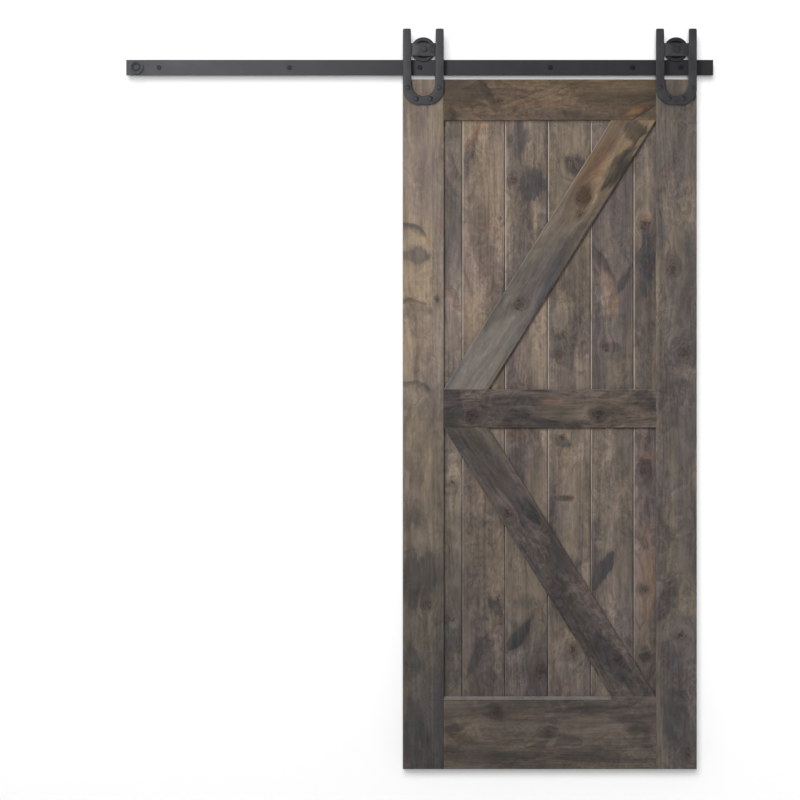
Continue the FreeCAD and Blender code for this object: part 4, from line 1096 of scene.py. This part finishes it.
def make_hanger(side, seed):
    """The horseshoe strap, its cross bar, and the two weld beads that join them in front."""
    node = "hanger_" + side
    low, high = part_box(node)
    middle = span(node)[0]
    strap_front, strap_back = span(node)[2:]
    bar_front = strap_back - BAR_THICKNESS
    edge_in, edge_out = horseshoe_edges(middle, low.z / MM, high.z / MM)
    grids = [(horseshoe_strap(edge_in, edge_out, strap_front, strap_back), False),
             (cross_bar(middle, bar_front, strap_back - 0.02), True)]
    seam = HANGER_WIDTH / 2 - STRAP_WIDTH
    bottom = AXLE_LEVEL - BAR_DROP - BAR_HEIGHT / 2 + 1.0
    top = bottom + BAR_HEIGHT - 2.0
    for number, way in enumerate((-1, 1)):
        grids.append((weld_bead(middle + way * seam, bar_front, bottom, top, seed + number), False))
    make_piece("rounded", node, grids, HANGER_STEEL, "door")


def make_hardware():
    """All turned, threaded and rounded steel pieces."""
    for number in range(1, 7):
        make_lag_screw(number)
        make_tube("standoff_" + str(number), *STANDOFF_RADII, RAIL_STEEL, "wall_rail", "rail_steel")
    for number, side in enumerate(("left", "right")):
        wheel = side + "_wheel"
        make_hanger(side, 10 * number)
        make_hanger_bolts(side)
        make_hanger_nuts(side)
        make_axle(side)
        make_axle_nut(side)
        make_turned("turned", "wheel_" + side, WHEEL_HALF, (0.9, 4), WHEEL_STEEL, wheel)
        make_turned("shielded", "bearing_" + side, BEARING_HALF, (0.35, 3), BEARING_STEEL, wheel)
        make_tube("axle_spacer_" + side, AXLE_SPACER_RADIUS, AXLE_HOLE, HANGER_STEEL, "door", "hanger_steel")
    make_end_stop()


make_hardware()


def dress(name, material):
    """Gives a CAD node's object its finish in every slot."""
    mesh = nodes[name].data
    if not mesh.materials:
        mesh.materials.append(material)
    for slot in range(len(mesh.materials)):
        mesh.materials[slot] = material


for dressed_name, finish in {**WOOD_MATERIALS, "rail": RAIL_STEEL}.items():
    dress(dressed_name, finish)


# Stage, camera and lights

def flat_square(name, corners, material):
    """A plain four-cornered sheet for the stage."""
    mesh = bpy.data.meshes.new(name)
    mesh.from_pydata(corners, [], [(0, 1, 2, 3)])
    mesh.materials.append(material)
    sheet = add_object(name, mesh)
    return sheet


def stage_material(name, tone, see_through_back):
    """Matt white paint; the wall lets the camera see the part from behind."""
    material, bench, shader, place = new_material(name)
    shade = bench.step(bench.noise(place, 1.5), 0.2, 0.8, 0.995, 1.0)
    bench.set(shader, {"Base Color": bench.vector("SCALE", tone, shade), "Roughness": 0.9,
                       "Specular IOR Level": 0.0})
    if see_through_back:
        back = bench.out("ShaderNodeNewGeometry", output="Backfacing")
        paint = Wire(bench, shader.outputs[0])
        pick = bench.out("ShaderNodeMixShader", {0: back, 1: paint, 2: bench.out("ShaderNodeBsdfTransparent")})
        bench.set(material.node_tree.nodes["Material Output"], {"Surface": pick})
    return material


def build_stage():
    """A white wall at the row frame's wall plane, and a pale floor below the leaf; returns both."""
    h = WALL_HALF_SIZE
    f = FLOOR_LEVEL
    wall_paint = stage_material("wall_paint", WALL_TONE, True)
    floor_paint = stage_material("floor_paint", FLOOR_TONE, False)
    wall = flat_square("wall", [(-h, 0, f), (h, 0, f), (h, 0, h), (-h, 0, h)], wall_paint)
    wall.visible_shadow = False
    floor = flat_square("floor", [(-h, -h, f), (h, -h, f), (h, h, f), (-h, h, f)], floor_paint)
    return wall, floor


def build_camera():
    """Straight at the door, at the photograph's framing."""
    data = bpy.data.cameras.new("camera")
    data.sensor_width = SENSOR_WIDTH
    data.lens = SENSOR_WIDTH * CAMERA_DISTANCE / (PHOTO_SIDE * PIXEL_SIZE)
    data.clip_end = 100.0
    camera = add_object("camera", data)
    x = (PHOTO_SIDE / 2 - RAIL_MIDDLE_PIXEL[0]) * PIXEL_SIZE
    z = (RAIL_MIDDLE_PIXEL[1] - PHOTO_SIDE / 2) * PIXEL_SIZE
    camera.location = (x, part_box("stile_left")[0].y - CAMERA_DISTANCE, z)
    camera.rotation_euler = (math.radians(90.0), 0.0, 0.0)
    bpy.context.scene.camera = camera


def add_light(name, kind, energy, place, target, pieces=None, **settings):
    """A lamp of one kind, aimed at a target, and limited to some pieces where they are given."""
    data = bpy.data.lights.new(name, kind)
    data.energy = energy
    for key, value in settings.items():
        setattr(data, key, value)
    lamp = add_object(name, data)
    lamp.location = place
    lamp.rotation_euler = (Vector(target) - Vector(place)).to_track_quat("-Z", "Y").to_euler()
    if pieces is not None:
        lit = bpy.data.collections.new("lit_by_" + name)
        for piece in pieces:
            lit.objects.link(piece)
        lamp.light_linking.receiver_collection = lit
    return lamp


def add_key(name, strength, slope, spread, pieces):
    """A broad soft key whose shadows fall by slope for each unit of depth, and which gives no highlight."""
    way = (slope[0], -1.0, slope[1])
    lamp = add_light(name, "SUN", strength, way, (0.0, 0.0, 0.0), pieces, angle=math.radians(spread))
    lamp.visible_glossy = False


def build_lights(wall, floor):
    """White fill all round, two keys for the wall, a key and a side light for the door, and one behind it."""
    world = bpy.context.scene.world or bpy.data.worlds.new("fill")
    bpy.context.scene.world = world
    world.use_nodes = True
    background = world.node_tree.nodes["Background"]
    background.inputs["Color"].default_value = WHITE
    background.inputs["Strength"].default_value = SKY_STRENGTH
    meshes = [piece for piece in bpy.context.scene.objects if piece.type == "MESH"]
    door = [piece for piece in meshes if piece not in (wall, floor)]
    add_key("wall_key", WALL_KEY_STRENGTH, WALL_KEY_SLOPE, WALL_KEY_SPREAD, [wall])
    add_key("wall_front", WALL_FRONT_STRENGTH, (0.0, 0.0), WALL_FRONT_SPREAD, [wall])
    add_key("door_key", DOOR_KEY_STRENGTH, DOOR_KEY_SLOPE, DOOR_KEY_SPREAD, door + [floor])
    add_light("side_light", "AREA", SIDE_LIGHT_WATTS, (-1.0, -2.6, 0.25), (-0.45, 0.0, -0.3), door,
              shape="SQUARE", size=0.8)
    add_light("back_light", "AREA", BACK_LIGHT_WATTS, (1.5, 4.5, 0.8), (0.0, 0.0, -1.1),
              shape="SQUARE", size=3.0)


build_camera()
build_lights(*build_stage())
bpy.context.scene.view_settings.view_transform = "Standard"
